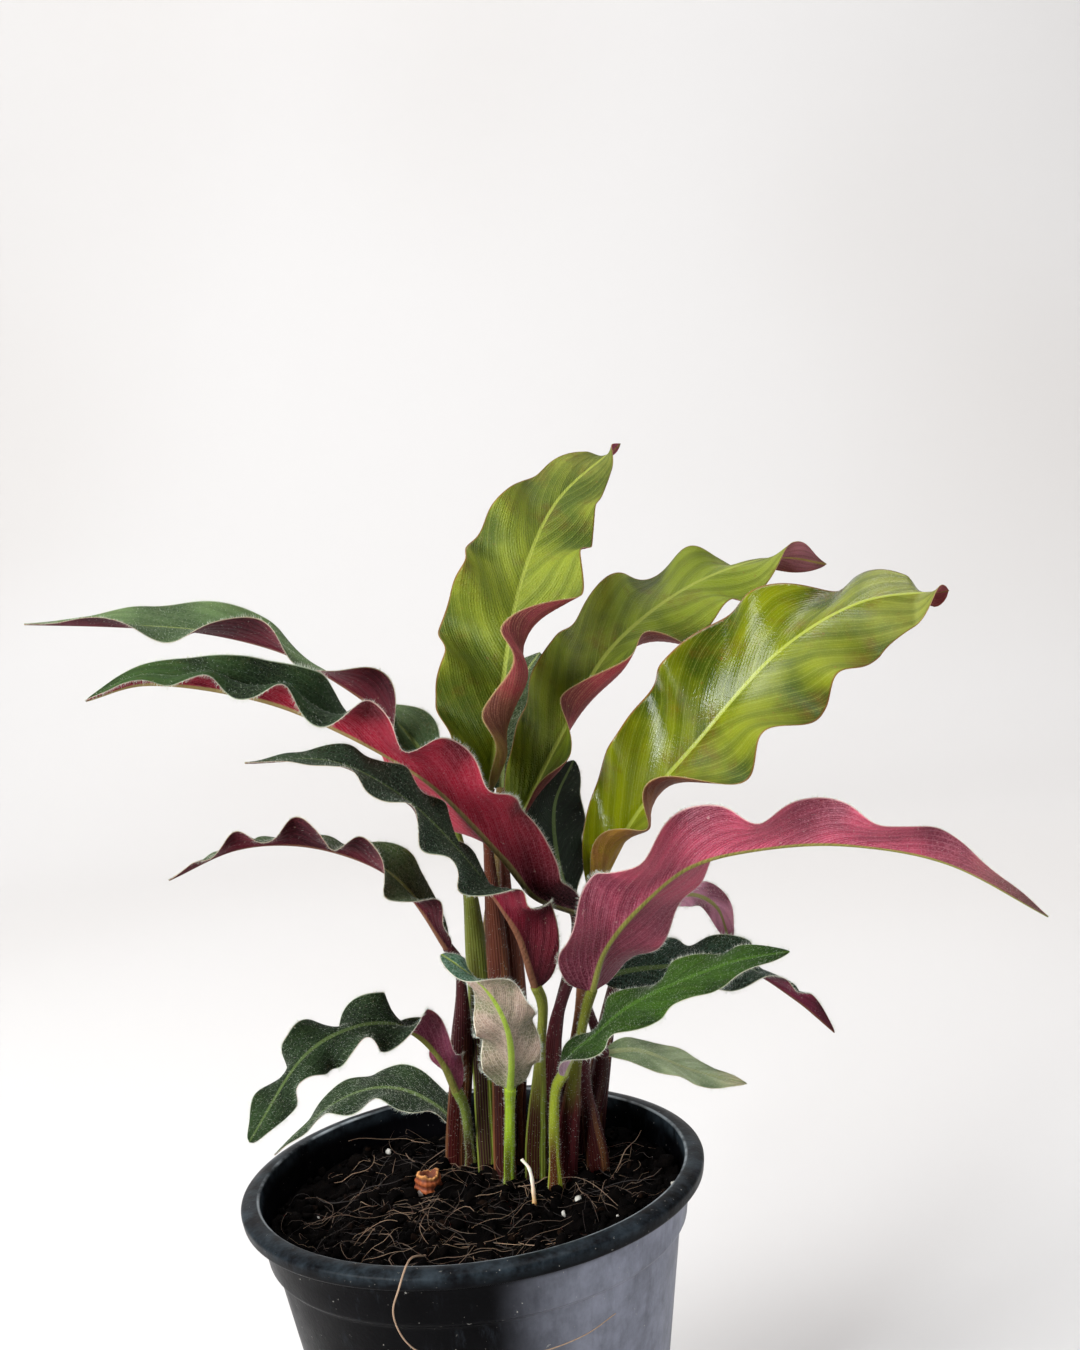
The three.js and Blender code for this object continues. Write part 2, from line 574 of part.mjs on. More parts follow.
function soilBody() {
  const ledge = POT_HEIGHT - LEDGE_DROP;
  const room = WALL + CLEARANCE + 0.25;
  const throat = wallRadius(ledge) - room;
  const shelf = COLLAR_RADIUS - 2 - room;
  const brim = shelf + 0.7;
  const floor = WALL + CLEARANCE;
  const foot = BASE_RADIUS - WALL - 1.4;
  const points = [[0, 0, floor], [0, 0, soilHeight(0, 0)]];
  const triangles = [];
  const rings = [[foot, floor], [throat, ledge - 0.5], [shelf, ledge + 0.7]];
  const ringPoint = (ring, k) => 2 + ring * SOIL_SEGMENTS + (k % SOIL_SEGMENTS);
  for (let step = SOIL_RINGS; step >= 1; step -= 1) rings.push([(brim * step) / SOIL_RINGS, null]);
  rings.forEach(([radius, level]) => {
    for (let k = 0; k < SOIL_SEGMENTS; k += 1) {
      const turn = (2 * Math.PI * k) / SOIL_SEGMENTS;
      const [x, y] = [radius * Math.cos(turn), radius * Math.sin(turn)];
      points.push([x, y, level ?? soilHeight(x, y)]);
    }
  });
  for (let k = 0; k < SOIL_SEGMENTS; k += 1) {
    triangles.push([0, ringPoint(0, k + 1), ringPoint(0, k)]);
    for (let ring = 0; ring + 1 < rings.length; ring += 1) {
      const [a, b] = [ringPoint(ring, k), ringPoint(ring, k + 1)];
      const [c, d] = [ringPoint(ring + 1, k + 1), ringPoint(ring + 1, k)];
      triangles.push([a, b, c], [a, c, d]);
    }
    const inner = rings.length - 1;
    triangles.push([ringPoint(inner, k), ringPoint(inner, k + 1), 1]);
  }
  return solidFrom(points, triangles);
}

// Soil with its fibres grown in, and one plain hole for each stalk and buried piece.
function soilGeometry(buried) {
  let soil = asManifold(soilBody());
  for (const curve of fibreCurves()) {
    soil = soil.add(asManifold(tubeGeometry(curve, () => FIBRE_RADIUS, 3, 4)));
  }
  for (const { curve, radius, sides, steps } of buried) {
    const socket = tubeGeometry(curve, (t) => radius(t) + CLEARANCE, sides, steps, CLEARANCE);
    soil = soil.subtract(asManifold(socket));
  }
  const pieces = soil.decompose().sort((a, b) => b.volume() - a.volume());
  return asGeometry(pieces[0]);
}

const group = new THREE.Group();

function place(name, geometry, colour, roughness) {
  const material = new THREE.MeshStandardMaterial({ color: colour, roughness, metalness: 0 });
  const mesh = new THREE.Mesh(geometry, material);
  mesh.name = name;
  group.add(mesh);
}

function placeTube(name, { curve, radius, sides, steps }, colour, roughness) {
  place(name, tubeGeometry(curve, radius, sides, steps), colour, roughness);
}

place('pot', potGeometry(), '#1b1c1e', 0.5);

const stub = {
  curve: smoothCurve([[-12.5, 11, 88], [-12.3, 9.5, 96], [-12, 8, 101.5]]),
  radius: () => 4,
  sides: 10,
  steps: 3,
};
const whiteRoot = {
  curve: smoothCurve([[14, -15, 93], [14.4, -14.5, 100], [14.2, -13.2, 107], [12.4, -12, 110]]),
  radius: (t) => 0.8 - 0.2 * t,
  sides: 6,
  steps: 6,
};
const stalks = LEAVES.map((leaf) => ({
  leaf,
  curve: stalkCurve(leaf),
  radius: (t) => stalkRadius(leaf.sheath ?? SHEATH, t),
  sides: STALK_SIDES,
  steps: STALK_STEPS,
}));

place('soil', soilGeometry([...stalks, stub, whiteRoot]), '#241912', 0.95);
placeTube('rhizome_stub', stub, '#9a5a2a', 0.8);
placeTube('root_white', whiteRoot, '#d9d2c0', 0.6);

for (const stalk of stalks) {
  const { leaf } = stalk;
  placeTube(`${leaf.name}_stalk`, stalk, leaf.stalk, 0.6);
  place(`${leaf.name}_blade`, bladeGeometry(leaf), leaf.blade, 0.65);
}

export default group;
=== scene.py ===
"""Potted velvet calathea: fine leaves, stalks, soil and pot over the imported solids.

Measures are in millimetres, except where a comment says metres, and become metres when a mesh
is made; those of materials, lights and camera are in metres. +X is to the right, +Y away from
the viewer and +Z up, with the origin in the centre of the pot's base.
"""
import math

import bmesh
import bpy
import numpy as np
from mathutils import Matrix, Vector


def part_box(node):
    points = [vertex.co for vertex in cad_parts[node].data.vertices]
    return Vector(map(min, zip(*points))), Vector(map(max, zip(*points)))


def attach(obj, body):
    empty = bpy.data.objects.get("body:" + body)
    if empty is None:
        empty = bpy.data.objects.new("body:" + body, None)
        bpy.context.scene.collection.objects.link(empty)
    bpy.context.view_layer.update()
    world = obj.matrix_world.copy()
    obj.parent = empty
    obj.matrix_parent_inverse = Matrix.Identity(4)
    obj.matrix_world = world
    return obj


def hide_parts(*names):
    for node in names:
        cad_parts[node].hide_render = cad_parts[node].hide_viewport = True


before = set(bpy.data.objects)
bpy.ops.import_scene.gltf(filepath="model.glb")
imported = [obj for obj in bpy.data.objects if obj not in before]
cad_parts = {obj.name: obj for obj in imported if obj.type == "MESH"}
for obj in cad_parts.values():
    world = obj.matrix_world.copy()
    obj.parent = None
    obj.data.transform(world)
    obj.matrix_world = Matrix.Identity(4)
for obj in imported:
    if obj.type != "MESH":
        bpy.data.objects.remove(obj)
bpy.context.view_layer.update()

MM = 0.001

# The pot's measures come from its solid, and the rest of its section from these.
RIM_RADIUS, _, POT_HEIGHT = np.array(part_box("pot")[1]) / MM
BASE_RADIUS = 37.5
COLLAR_RADIUS = 56.2
RIM_CREST_RADIUS = 57.6
RIM_INNER_RADIUS = 55.0
RIM_BAND_HEIGHT = 4.4
LEDGE_HEIGHT = POT_HEIGHT - 16.5
LEDGE_STEP = 1.7
SHELF_RADIUS = COLLAR_RADIUS - 2
WALL = 1.5
DRAIN_HOLES = 6
DRAIN_RADIUS = 4.0
DRAIN_CIRCLE = 27.0
POT_SIDES = 192

# The soil's surface and grain, and how many crumbs and threads lie on it and how far out.
SOIL_LEVEL = 97.0
SOIL_TILT = (0.02, -0.045)
SOIL_RADIUS = 53.2
SOIL_RINGS, SOIL_SIDES = 78, 190
CRUMBS, CRUMB_REACH = 1200, 52.2
THREADS, THREAD_REACH, THREAD_KNOTS = 440, 52, 7

# A blade's half-width at its foot, its half thickness at the margin and in the middle, how its
# waves grow from the midrib, and the roll of one that doesn't turn over.
BLADE_FOOT = 1.3
MARGIN_HALF, MIDDLE_HALF = 0.07, 0.22
WAVE_SPREAD = 0.6
NO_ROLL = (0.9, 0)

# The depth at which a stalk starts, its radius at the sheath and above it, how much it swells
# under the blade, the shares of its length between which it narrows, and its grain and hairs.
ROOT_DEPTH = 9.0
SHEATH_RADIUS, STALK_RADIUS, STALK_SWELL = 2.75, 1.25, 0.2
SHEATH = (0.25, 0.75)
STALK_SIDES, STALK_ROWS, STALK_HAIRS = 28, 84, 700

# Side veins of a blade by its size, and how far forward of its start each one ends.
VEINS = {"large": 22.0, "medium": 17.0, "small": 12.0}
FINE_SWEEP = 0.27

# Rows along a blade and steps across each half of it, by size.
GRAIN = {"large": (200, 20), "medium": (165, 17), "small": (120, 14)}

# Radii of the hairs on margins, faces and stalks.
FRINGE_RADIUS, FUZZ_RADIUS, STALK_HAIR_RADIUS = 0.034, 0.019, 0.03


def half_blade(lift, swing, phase, curl=(0, 0)):
    """One half of a blade, as told at the table of leaves."""
    return {"lift": lift, "curl": curl, "swing": swing, "phase": phase}


# One entry for each leaf. root is where its stalk enters the soil, via are points on the way up,
# and midrib runs from the blade's foot to its tip. half is the widest half-width and face is the
# way the upper side looks at even stations from foot to tip. belly holds how fast the outline
# fills out after the foot and how fast it draws in to the tip. waves holds how many there are,
# how much they crowd to the tip and how far they sweep forward on their way to the margin.
# left and right are the two halves of the blade, seen from above with the tip ahead: the first
# list is its lift, the angle in degrees by which it rises from flat at the midrib, then come the
# swing and phase of its waves, and last, where there is one, its curl, which tells how much
# steeper it is at the margin. Lift and curl are given at even stations from foot to tip.
# Where there is a roll, the blade turns over about its midrib towards the tip: the share of its
# length where that starts, and the turn in degrees at the tip. A sheath differs from SHEATH
# where a stalk keeps its full width further up.
LEAVES = [
    dict(name="leaf_top", size="large", half=19, belly=(0.5, 0.85), waves=(5, 0, 0.1),
         root=(8.5, 8), via=[(12, 10, 140)], roll=(0.92, -100), sheath=(0.6, 0.9),
         midrib=[(15, 10, 201), (21, 12, 226), (29, 20, 252), (42, 32, 273), (62, 42, 287)],
         face=[(-0.2, -0.95, 0.2), (-0.25, -0.9, 0.35), (-0.35, -0.8, 0.5)],
         left=half_blade((40, 20, 25, 20, -20), 45, 0.08),
         right=half_blade((20, 10, 0, -10, 10), 30, 0.6, (130, 150, 20, 0, 40))),
    dict(name="leaf_upper_middle", size="large", half=16, belly=(0.6, 0.8), waves=(5, 0, 0.1),
         root=(11, 14), via=[(16, 15, 140)], roll=(0.78, -105), sheath=(0.6, 0.9),
         midrib=[(21, 15, 190), (35, 20, 210), (52, 28, 232), (77, 40, 246), (103, 50, 251),
                 (120, 56, 247)],
         face=[(-0.4, -0.85, 0.4), (-0.3, -0.85, 0.5), (-0.2, -0.6, 0.8)],
         left=half_blade((30, 20, 0, -25, -25), 48, 0.95),
         right=half_blade((25, 20, 0, 0, 30), 38, 0.25, (60, 110, 0, 0, 60))),
    dict(name="leaf_upper_right", size="large", half=20, belly=(0.75, 0.65), waves=(5, 0, 0.1),
         root=(25, 14), via=[(33, 13, 138)], roll=(0.93, -110),
         midrib=[(39, 12, 169), (52, 4, 191), (68, -6, 210), (88, -15, 231), (108, -22, 242),
                 (129, -26, 243)],
         face=[(-0.5, -0.8, 0.4), (-0.3, -0.85, 0.5), (-0.2, -0.9, 0.4)],
         left=half_blade((35, 20, 5, -40, -45), 29, 0.05),
         right=half_blade((50, 30, 15, 0, 0), 40, 0.85, (110, 60, 0, 0, 0))),
    dict(name="leaf_upper_left", size="large", half=11, belly=(0.6, 0.8), waves=(3.45, 0, 0.04),
         root=(4.5, 13.5), via=[(7, 16, 148), (7, 17, 178)], sheath=(0.6, 0.9),
         midrib=[(3, 18, 198), (-1, 19, 211), (-10, 19, 223), (-22, 18, 234), (-35, 16, 243),
                 (-54, 13, 250), (-75, 10, 254), (-96, 6, 257)],
         face=[(-0.6, -0.7, 0.4), (-0.1, -0.2, 0.95), (0, -0.1, 1), (0, -0.1, 1), (0, -0.1, 1)],
         left=half_blade((20, 30, 48, 24, 24, 12, 10, 15, 10), 42, 0.32),
         right=half_blade((70, 30, -20, -10, 28, 45, 40, 10, 0), 12, 0.3)),
    dict(name="leaf_left_long", size="large", half=13, belly=(0.4, 0.65), waves=(3.4, 1, 0.04),
         root=(21.5, 8.5), via=[(26, 8, 138)],
         midrib=[(34, 3, 168), (23, -1, 175), (15, -7, 188), (-1, -16, 210), (-24, -24, 228),
                 (-42, -28, 237), (-62, -31, 242), (-76, -33, 240)],
         face=[(-0.3, -0.1, 0.95), (-0.5, 0.1, 0.85), (0, 0.1, 1)],
         left=half_blade((50, 32, 15, 0, 12, 50, 90, 90, 50), 40, 0.4,
                         (0, 0, 0, 0, -20, -120, -170, -160, -60)),
         right=half_blade((62, 60, 42, 30, 45, 85, 88, 60, 30), 12, 0.75)),
    dict(name="leaf_left_middle", size="medium", half=12.5, belly=(0.45, 0.8),
         waves=(6.5, 0, 0.04), root=(16.5, 4), via=[(20.3, -1, 132)],
         midrib=[(21, -6, 152), (16, -12, 172), (5, -22, 193), (-7, -30, 209), (-22, -36, 220),
                 (-41, -42, 223)],
         face=[(0.9, 0.2, 0.5), (0.2, 0.1, 1), (0, 0.1, 1)],
         left=half_blade((65, 78, 20, -38, -45, -25, -20, -5, 0), 20, 0.21),
         right=half_blade((70, 20, 18, 30, 42, 42, 38, 20, 0), 12, 0.3)),
    dict(name="leaf_left_low", size="medium", half=9.5, belly=(0.6, 0.8), waves=(2.7, 0.9, 0.04),
         root=(-4, 25), via=[(0, 16, 127)], sheath=(0.6, 0.9),
         midrib=[(0, 8, 161), (-7, 4, 176), (-16, 0, 187), (-32, -4, 195), (-49, -8, 197),
                 (-66, -12, 192)],
         face=[(0.7, 0, 0.7), (0, 0.1, 1), (0, 0.1, 1)],
         left=half_blade((40, 20, -25, 0, 25, 32, 25, 20, 10), 40, 0.72),
         right=half_blade((40, 55, 10, 0, 0), 15, 0.3)),
    dict(name="leaf_lower_left", size="medium", half=8, belly=(0.5, 0.5), waves=(4.4, 0, 0.05),
         root=(0, 19), via=[], sheath=(0, 0.4),
         midrib=[(-2, 4, 124), (-6, -2, 137), (-14, -8, 147), (-26, -14, 150), (-39, -19, 145),
                 (-53, -24, 128)],
         face=[(0.7, 0, 0.7), (-0.1, -0.6, 0.8), (-0.6, -0.7, 0.5)],
         left=half_blade((80, 80, -10, -10, 0), 60, 0.03),
         right=half_blade((0, 0, -5, -5, 0), 75, 0.4)),
    dict(name="leaf_rim_left", size="small", half=8, belly=(0.6, 0.8), waves=(3, 0, 0.05),
         root=(-1, 29.5), via=[], sheath=(0, 0.4),
         midrib=[(-3, 32.5, 102.5), (-8, 39, 107.5), (-17, 47, 110.8), (-28, 54, 110),
                 (-41, 60, 103.5), (-57, 57, 93)],
         face=[(0.3, -0.2, 0.9), (-0.2, -0.3, 0.95), (-0.6, 0.1, 0.8)],
         left=half_blade((20, 0, 0, 0, 0), 25, 0.2),
         right=half_blade((20, 14, 6, 0, 0), 20, 0.3)),
    dict(name="leaf_right_long", size="large", half=14.5, belly=(0.35, 0.85), waves=(5.2, 0, 0.04),
         root=(24, 3), via=[(30, -2, 132)],
         midrib=[(35, -5, 149), (39, -10, 161), (48, -18, 173), (60, -25, 183), (76, -32, 187),
                 (96, -39, 187), (118, -45, 181), (139, -50, 167)],
         face=[(-0.6, 0.1, 0.8), (-0.1, 0.1, 0.95), (0.3, 0.1, 0.9)],
         left=half_blade((-30, -55, -25, -5, -5, -5, -5, 0, 0), 8, 0.3),
         right=half_blade((60, 52, 50, 56, 58, 60, 55, 45, 30), 35, 0.26)),
    dict(name="leaf_right_small", size="small", half=4.5, belly=(0.6, 0.8), waves=(2, 0, 0.05),
         root=(34, 26), via=[(46, 33, 142)],
         midrib=[(59, 26, 161), (68, 31, 162), (76, 35, 156), (79, 37, 144)],
         face=[(0, 0.8, 0.5), (0.3, 0.9, 0.3), (0.5, 0.8, 0)],
         left=half_blade((10, 0, 0, 0, 0), 20, 0.2),
         right=half_blade((30, 20, 10, 0, 0), 20, 0.3)),
    dict(name="leaf_right_dark", size="medium", half=8.5, belly=(0.5, 0.8), waves=(3.5, 0, 0.05),
         root=(30, 20), via=[(38, 21, 122)],
         midrib=[(40, 18, 145), (49, 19, 146), (65, 23, 144), (81, 28, 140), (95, 33, 128),
                 (106, 35, 116)],
         face=[(-0.2, -0.4, 0.9), (0, -0.4, 0.9), (0.6, 0, 0.8)],
         left=half_blade((20, 30, 30, 0, 0), 40, 0.6),
         right=half_blade((-50, -20, 0, 60, 60), 36, 0.25)),
    dict(name="leaf_right_bright", size="medium", half=7, belly=(0.5, 0.7), waves=(3.5, 0, 0.05),
         root=(21, -3), via=[], sheath=(0, 0.5),
         midrib=[(25.3, -6.6, 128.5), (28.3, -8.8, 134.5), (34, -11.5, 139.5), (43, -15, 147),
                 (55, -20, 153), (69, -25, 158), (82, -29, 160)],
         face=[(-0.5, -0.5, 0.8), (-0.4, -0.6, 0.8), (-0.2, -0.6, 0.8)],
         left=half_blade((0, -25, -20, 0, 0), 32, 0.2),
         right=half_blade((60, 0, -10, 0, 0), 32, 0.3)),
    dict(name="leaf_right_pale", size="small", half=5.5, belly=(0.6, 0.8), waves=(2, 0, 0.05),
         root=(33, 6), via=[],
         midrib=[(38, 8, 128), (48, 11, 126), (62, 16, 117), (77, 20, 110)],
         face=[(0.4, -0.5, 0.8), (0.4, -0.5, 0.8), (0.4, -0.5, 0.8)],
         left=half_blade((0, 0, 0, 0, 0), 18, 0.2),
         right=half_blade((0, 0, 0, 0, 0), 18, 0.3)),
    dict(name="leaf_front", size="small", half=8, belly=(0.3, 0.55), waves=(3, 0, 0.05),
         root=(9, 0), via=[(10, -5, 112)], sheath=(0, 0.35),
         midrib=[(11.5, -10, 128), (12.5, -17, 140), (11.5, -22, 150), (8, -25, 159),
                 (2.5, -26, 165), (-2, -24, 168.5)],
         face=[(0, 0.95, 0.2), (0.2, 0.7, 0.6), (0.2, -0.4, 0.9)],
         left=half_blade((20, 28, 28, 10, 0), 28, 0.2),
         right=half_blade((20, 5, 0, 0, 0), 30, 0.45)),
    dict(name="leaf_back_dark", size="small", half=9, belly=(0.6, 0.7), waves=(2.5, 0, 0.05),
         root=(18, 16), via=[(27, 19, 135)],
         midrib=[(34, 20, 166), (32, 24, 177), (33, 30, 191), (40, 36, 202)],
         face=[(-0.5, -0.8, 0.2), (-0.3, -0.8, 0.4), (-0.2, -0.7, 0.6)],
         left=half_blade((20, 10, 0, 0, 0), 20, 0.2),
         right=half_blade((20, 10, 0, 0, 0), 20, 0.3)),
    dict(name="leaf_back_grey", size="small", half=11, belly=(0.6, 0.8), waves=(2.5, 0, 0.05),
         root=(7, 19), via=[(11, 24, 150)], sheath=(0.6, 0.9),
         midrib=[(19, 30, 197), (22, 36, 212), (27, 44, 223), (35, 54, 231)],
         face=[(-0.2, -0.8, 0.4), (-0.2, -0.7, 0.6), (-0.2, -0.5, 0.8)],
         left=half_blade((20, 10, 0, 0, 0), 20, 0.2),
         right=half_blade((20, 10, 0, 0, 0), 20, 0.3)),
]


# Numbers and lines

def smoothstep(low, high, value):
    """0 below low, 1 above high, and an eased S between them."""
    share = np.clip((np.asarray(value, float) - low) / (high - low), 0, 1)
    return share * share * (3 - 2 * share)


def blend(stations, t):
    """Value at t of evenly spaced stations joined by straight lines with eased ends."""
    stations = np.asarray(stations, float)
    place = np.minimum(t, 0.9999) * (len(stations) - 1)
    step = np.floor(place).astype(int)
    ease = smoothstep(0, 1, place - step)
    if stations.ndim > 1:
        ease = ease[..., None]
    return stations[step] * (1 - ease) + stations[step + 1] * ease


def round_turn(sides):
    """The angles of evenly spaced points round a ring."""
    return np.arange(sides) * math.tau / sides


def unit(vectors):
    """Vectors scaled to length 1."""
    return vectors / np.maximum(np.linalg.norm(vectors, axis=-1, keepdims=True), 1e-9)


def length_along(points):
    """Length of a line of points from its start to each of them."""
    return np.concatenate([[0], np.cumsum(np.linalg.norm(np.diff(points, axis=0), axis=1))])


def sample(place, knots, values):
    """The rows of values, known at the rising knots, read between them at place."""
    return np.stack([np.interp(place, knots, values[:, k]) for k in range(3)], axis=-1)


def smooth_line(points, power=0.0):
    """Catmull-Rom line through points, as 2001 samples with even steps along its length.

    The knots are spaced by the distance between points to the given power: 0 is the uniform
    curve and 0.5 the centripetal one.
    """
    points = np.asarray(points, float)
    first, last = 2 * points[0] - points[1], 2 * points[-1] - points[-2]
    ext = np.vstack([first, points, last])
    gaps = np.linalg.norm(np.diff(ext, axis=0), axis=1) ** power
    place = np.linspace(0, len(points) - 1, 4001)
    seg = np.minimum(place.astype(int), len(points) - 2)
    w = (place - seg)[:, None]
    p0, p1, p2, p3 = (ext[seg + k] for k in range(4))
    d0, d1, d2 = (gaps[seg + k][:, None] for k in range(3))
    t1 = ((p1 - p0) / d0 - (p2 - p0) / (d0 + d1) + (p2 - p1) / d1) * d1
    t2 = ((p2 - p1) / d1 - (p3 - p1) / (d1 + d2) + (p3 - p2) / d2) * d1
    line = ((2 * p1 - 2 * p2 + t1 + t2) * w**3 + (3 * p2 - 3 * p1 - 2 * t1 - t2) * w**2
            + t1 * w + p1)
    run = length_along(line)
    return sample(np.linspace(0, run[-1], 2001), run, line)


def along(line, t):
    """Points and unit tangents of an evenly sampled line at shares t of its length."""
    place = np.asarray(t) * (len(line) - 1)
    index = np.arange(len(line))
    return sample(place, index, line), unit(sample(place, index, np.gradient(line, axis=0)))


def ripple_sum(x, y, seed, count, low, high):
    """Rough field of about unit strength: count sine waves of random headings and lengths."""
    random = np.random.default_rng(seed)
    total = np.zeros(np.shape(x))
    for _ in range(count):
        turn, phase = random.uniform(0, math.tau, 2)
        length = random.uniform(low, high)
        run = x * math.cos(turn) + y * math.sin(turn)
        total += np.sin(math.tau * run / length + phase)
    return total / math.sqrt(count)


# Meshes

def link_object(name, data):
    """An object with the given mesh, light or camera, linked into the scene."""
    made = bpy.data.objects.new(name, data)
    bpy.context.scene.collection.objects.link(made)
    return made


def make_mesh(name, points, faces, uv=None, slots=None, materials=(), fields=None, body="root"):
    """A smooth-shaded object at the origin from points in millimetres.

    faces is a list of index arrays, one for each face size; uv and each of fields hold one value
    per point; slots holds one material index per face.
    """
    mesh = bpy.data.meshes.new(name)
    rows = [row for block in faces for row in np.asarray(block).tolist()]
    mesh.from_pydata((np.asarray(points) * MM).tolist(), [], rows)
    if uv is not None:
        corner = np.empty(len(mesh.loops), dtype=np.int32)
        mesh.loops.foreach_get("vertex_index", corner)
        layer = mesh.uv_layers.new(name="UVMap")
        layer.data.foreach_set("uv", np.asarray(uv, np.float32)[corner].ravel())
    for field, values in (fields or {}).items():
        layer = mesh.attributes.new(field, "FLOAT", "POINT")
        layer.data.foreach_set("value", np.asarray(values, np.float32))
    for material in materials:
        mesh.materials.append(material)
    if slots is not None:
        mesh.polygons.foreach_set("material_index", np.asarray(slots, np.int32))
    mesh.polygons.foreach_set("use_smooth", np.ones(len(mesh.polygons), dtype=bool))
    mesh.update()
    piece = link_object(name, mesh)
    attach(piece, body)
    return piece


def ring_faces(rows, ring):
    """Quads of a tube made of rows closed rings of points, the points numbered ring by ring."""
    i, k = np.meshgrid(np.arange(rows - 1), np.arange(ring), indexing="ij")
    following = (k + 1) % ring
    quads = np.stack([i * ring + k, i * ring + following,
                      (i + 1) * ring + following, (i + 1) * ring + k], axis=-1)
    return quads.reshape(-1, 4)


def close_rings(rings, first, last):
    """Points, quads and end triangles of closed rings of points, shut round two more points."""
    rows, ring = rings.shape[:2]
    k = np.arange(ring)
    following = (k + 1) % ring
    middle, end = np.full(ring, rows * ring), (rows - 1) * ring
    fans = np.vstack([np.stack([middle, following, k], 1),
                      np.stack([middle + 1, k + end, following + end], 1)])
    return np.vstack([rings.reshape(-1, 3), first, last]), ring_faces(rows, ring), fans


def tube(line, radius, sides, rows, widen=None):
    """Closed tube round an evenly sampled line, with the ring's frame carried along unturned.

    radius(t) is its radius and widen(t, turn), where given, a factor on it round the ring.
    Returns points, quads, end fans, and the t and turn of each point.
    """
    t = np.linspace(0, 1, rows)
    centre, ahead = along(line, t)
    side = np.empty_like(centre)
    start = np.cross(ahead[0], [0.0, 1.0, 0.0])
    side[0] = unit(start if np.linalg.norm(start) > 0.1 else np.cross(ahead[0], [1.0, 0, 0]))
    for i in range(1, rows):
        side[i] = unit(side[i - 1] - ahead[i] * np.dot(side[i - 1], ahead[i]))
    other = np.cross(ahead, side)
    turn = round_turn(sides)
    size = np.broadcast_to(np.asarray(radius(t), float)[:, None], (rows, sides)).copy()
    if widen is not None:
        size *= widen(t[:, None], turn[None, :])
    rings = (centre[:, None] + side[:, None] * (size * np.cos(turn))[..., None]
             + other[:, None] * (size * np.sin(turn))[..., None])
    ts = np.concatenate([np.repeat(t, sides), [0, 1]])
    turns = np.concatenate([np.tile(turn, rows), [0, 0]])
    return *close_rings(rings, centre[0], centre[-1]), ts, turns


class Heap:
    """Gathers many small closed shapes into the arrays of one mesh."""

    def __init__(self):
        self.points, self.quads, self.tris, self.shade = [], [], [], []
        self.count = 0

    def add(self, points, quads=None, tris=None, shade=0.0, mark=0):
        """Add a shape; shade is its value of the field of that name, mark its material index."""
        for store, block in ((self.quads, quads), (self.tris, tris)):
            if block is not None and len(block):
                store.append((np.asarray(block) + self.count, mark))
        self.points.append(points)
        self.shade.append(np.broadcast_to(shade, len(points)))
        self.count += len(points)

    def build(self, name, materials):
        """Make the object."""
        blocks = self.quads + self.tris
        faces = [np.vstack([block for block, _ in store])
                 for store in (self.quads, self.tris) if store]
        slots = np.concatenate([np.full(len(block), mark) for block, mark in blocks])
        return make_mesh(name, np.vstack(self.points), faces, slots=slots, materials=materials,
                         fields={"shade": np.concatenate(self.shade)})


def spikes(roots, ways, lengths, radius):
    """Hairs: a slim closed three-sided spike from each root along its way."""
    count = len(roots)
    radius = np.broadcast_to(radius, count)[:, None, None]
    ways = unit(ways)
    helper = np.where(np.abs(ways[:, 2:]) < 0.8, [[0.0, 0.0, 1.0]], [[1.0, 0.0, 0.0]])
    across = unit(np.cross(ways, helper))
    third = np.cross(ways, across)
    turns = round_turn(3)
    base = (roots[:, None] - ways[:, None] * 0.05
            + radius * (across[:, None] * np.cos(turns)[None, :, None]
                        + third[:, None] * np.sin(turns)[None, :, None]))
    tips = roots + ways * lengths[:, None]
    points = np.concatenate([base, tips[:, None]], axis=1).reshape(-1, 3)
    start = 4 * np.arange(count)[:, None, None]
    pattern = np.array([[0, 1, 3], [1, 2, 3], [2, 0, 3], [0, 2, 1]])
    return points, (start + pattern[None]).reshape(-1, 3)


# Materials

def colour(code):
    """Linear colour of a hex code such as 7d8a35."""
    parts = [int(code[k:k + 2], 16) / 255 for k in (0, 2, 4)]
    return [c / 12.92 if c <= 0.04045 else ((c + 0.055) / 1.055) ** 2.4 for c in parts] + [1.0]


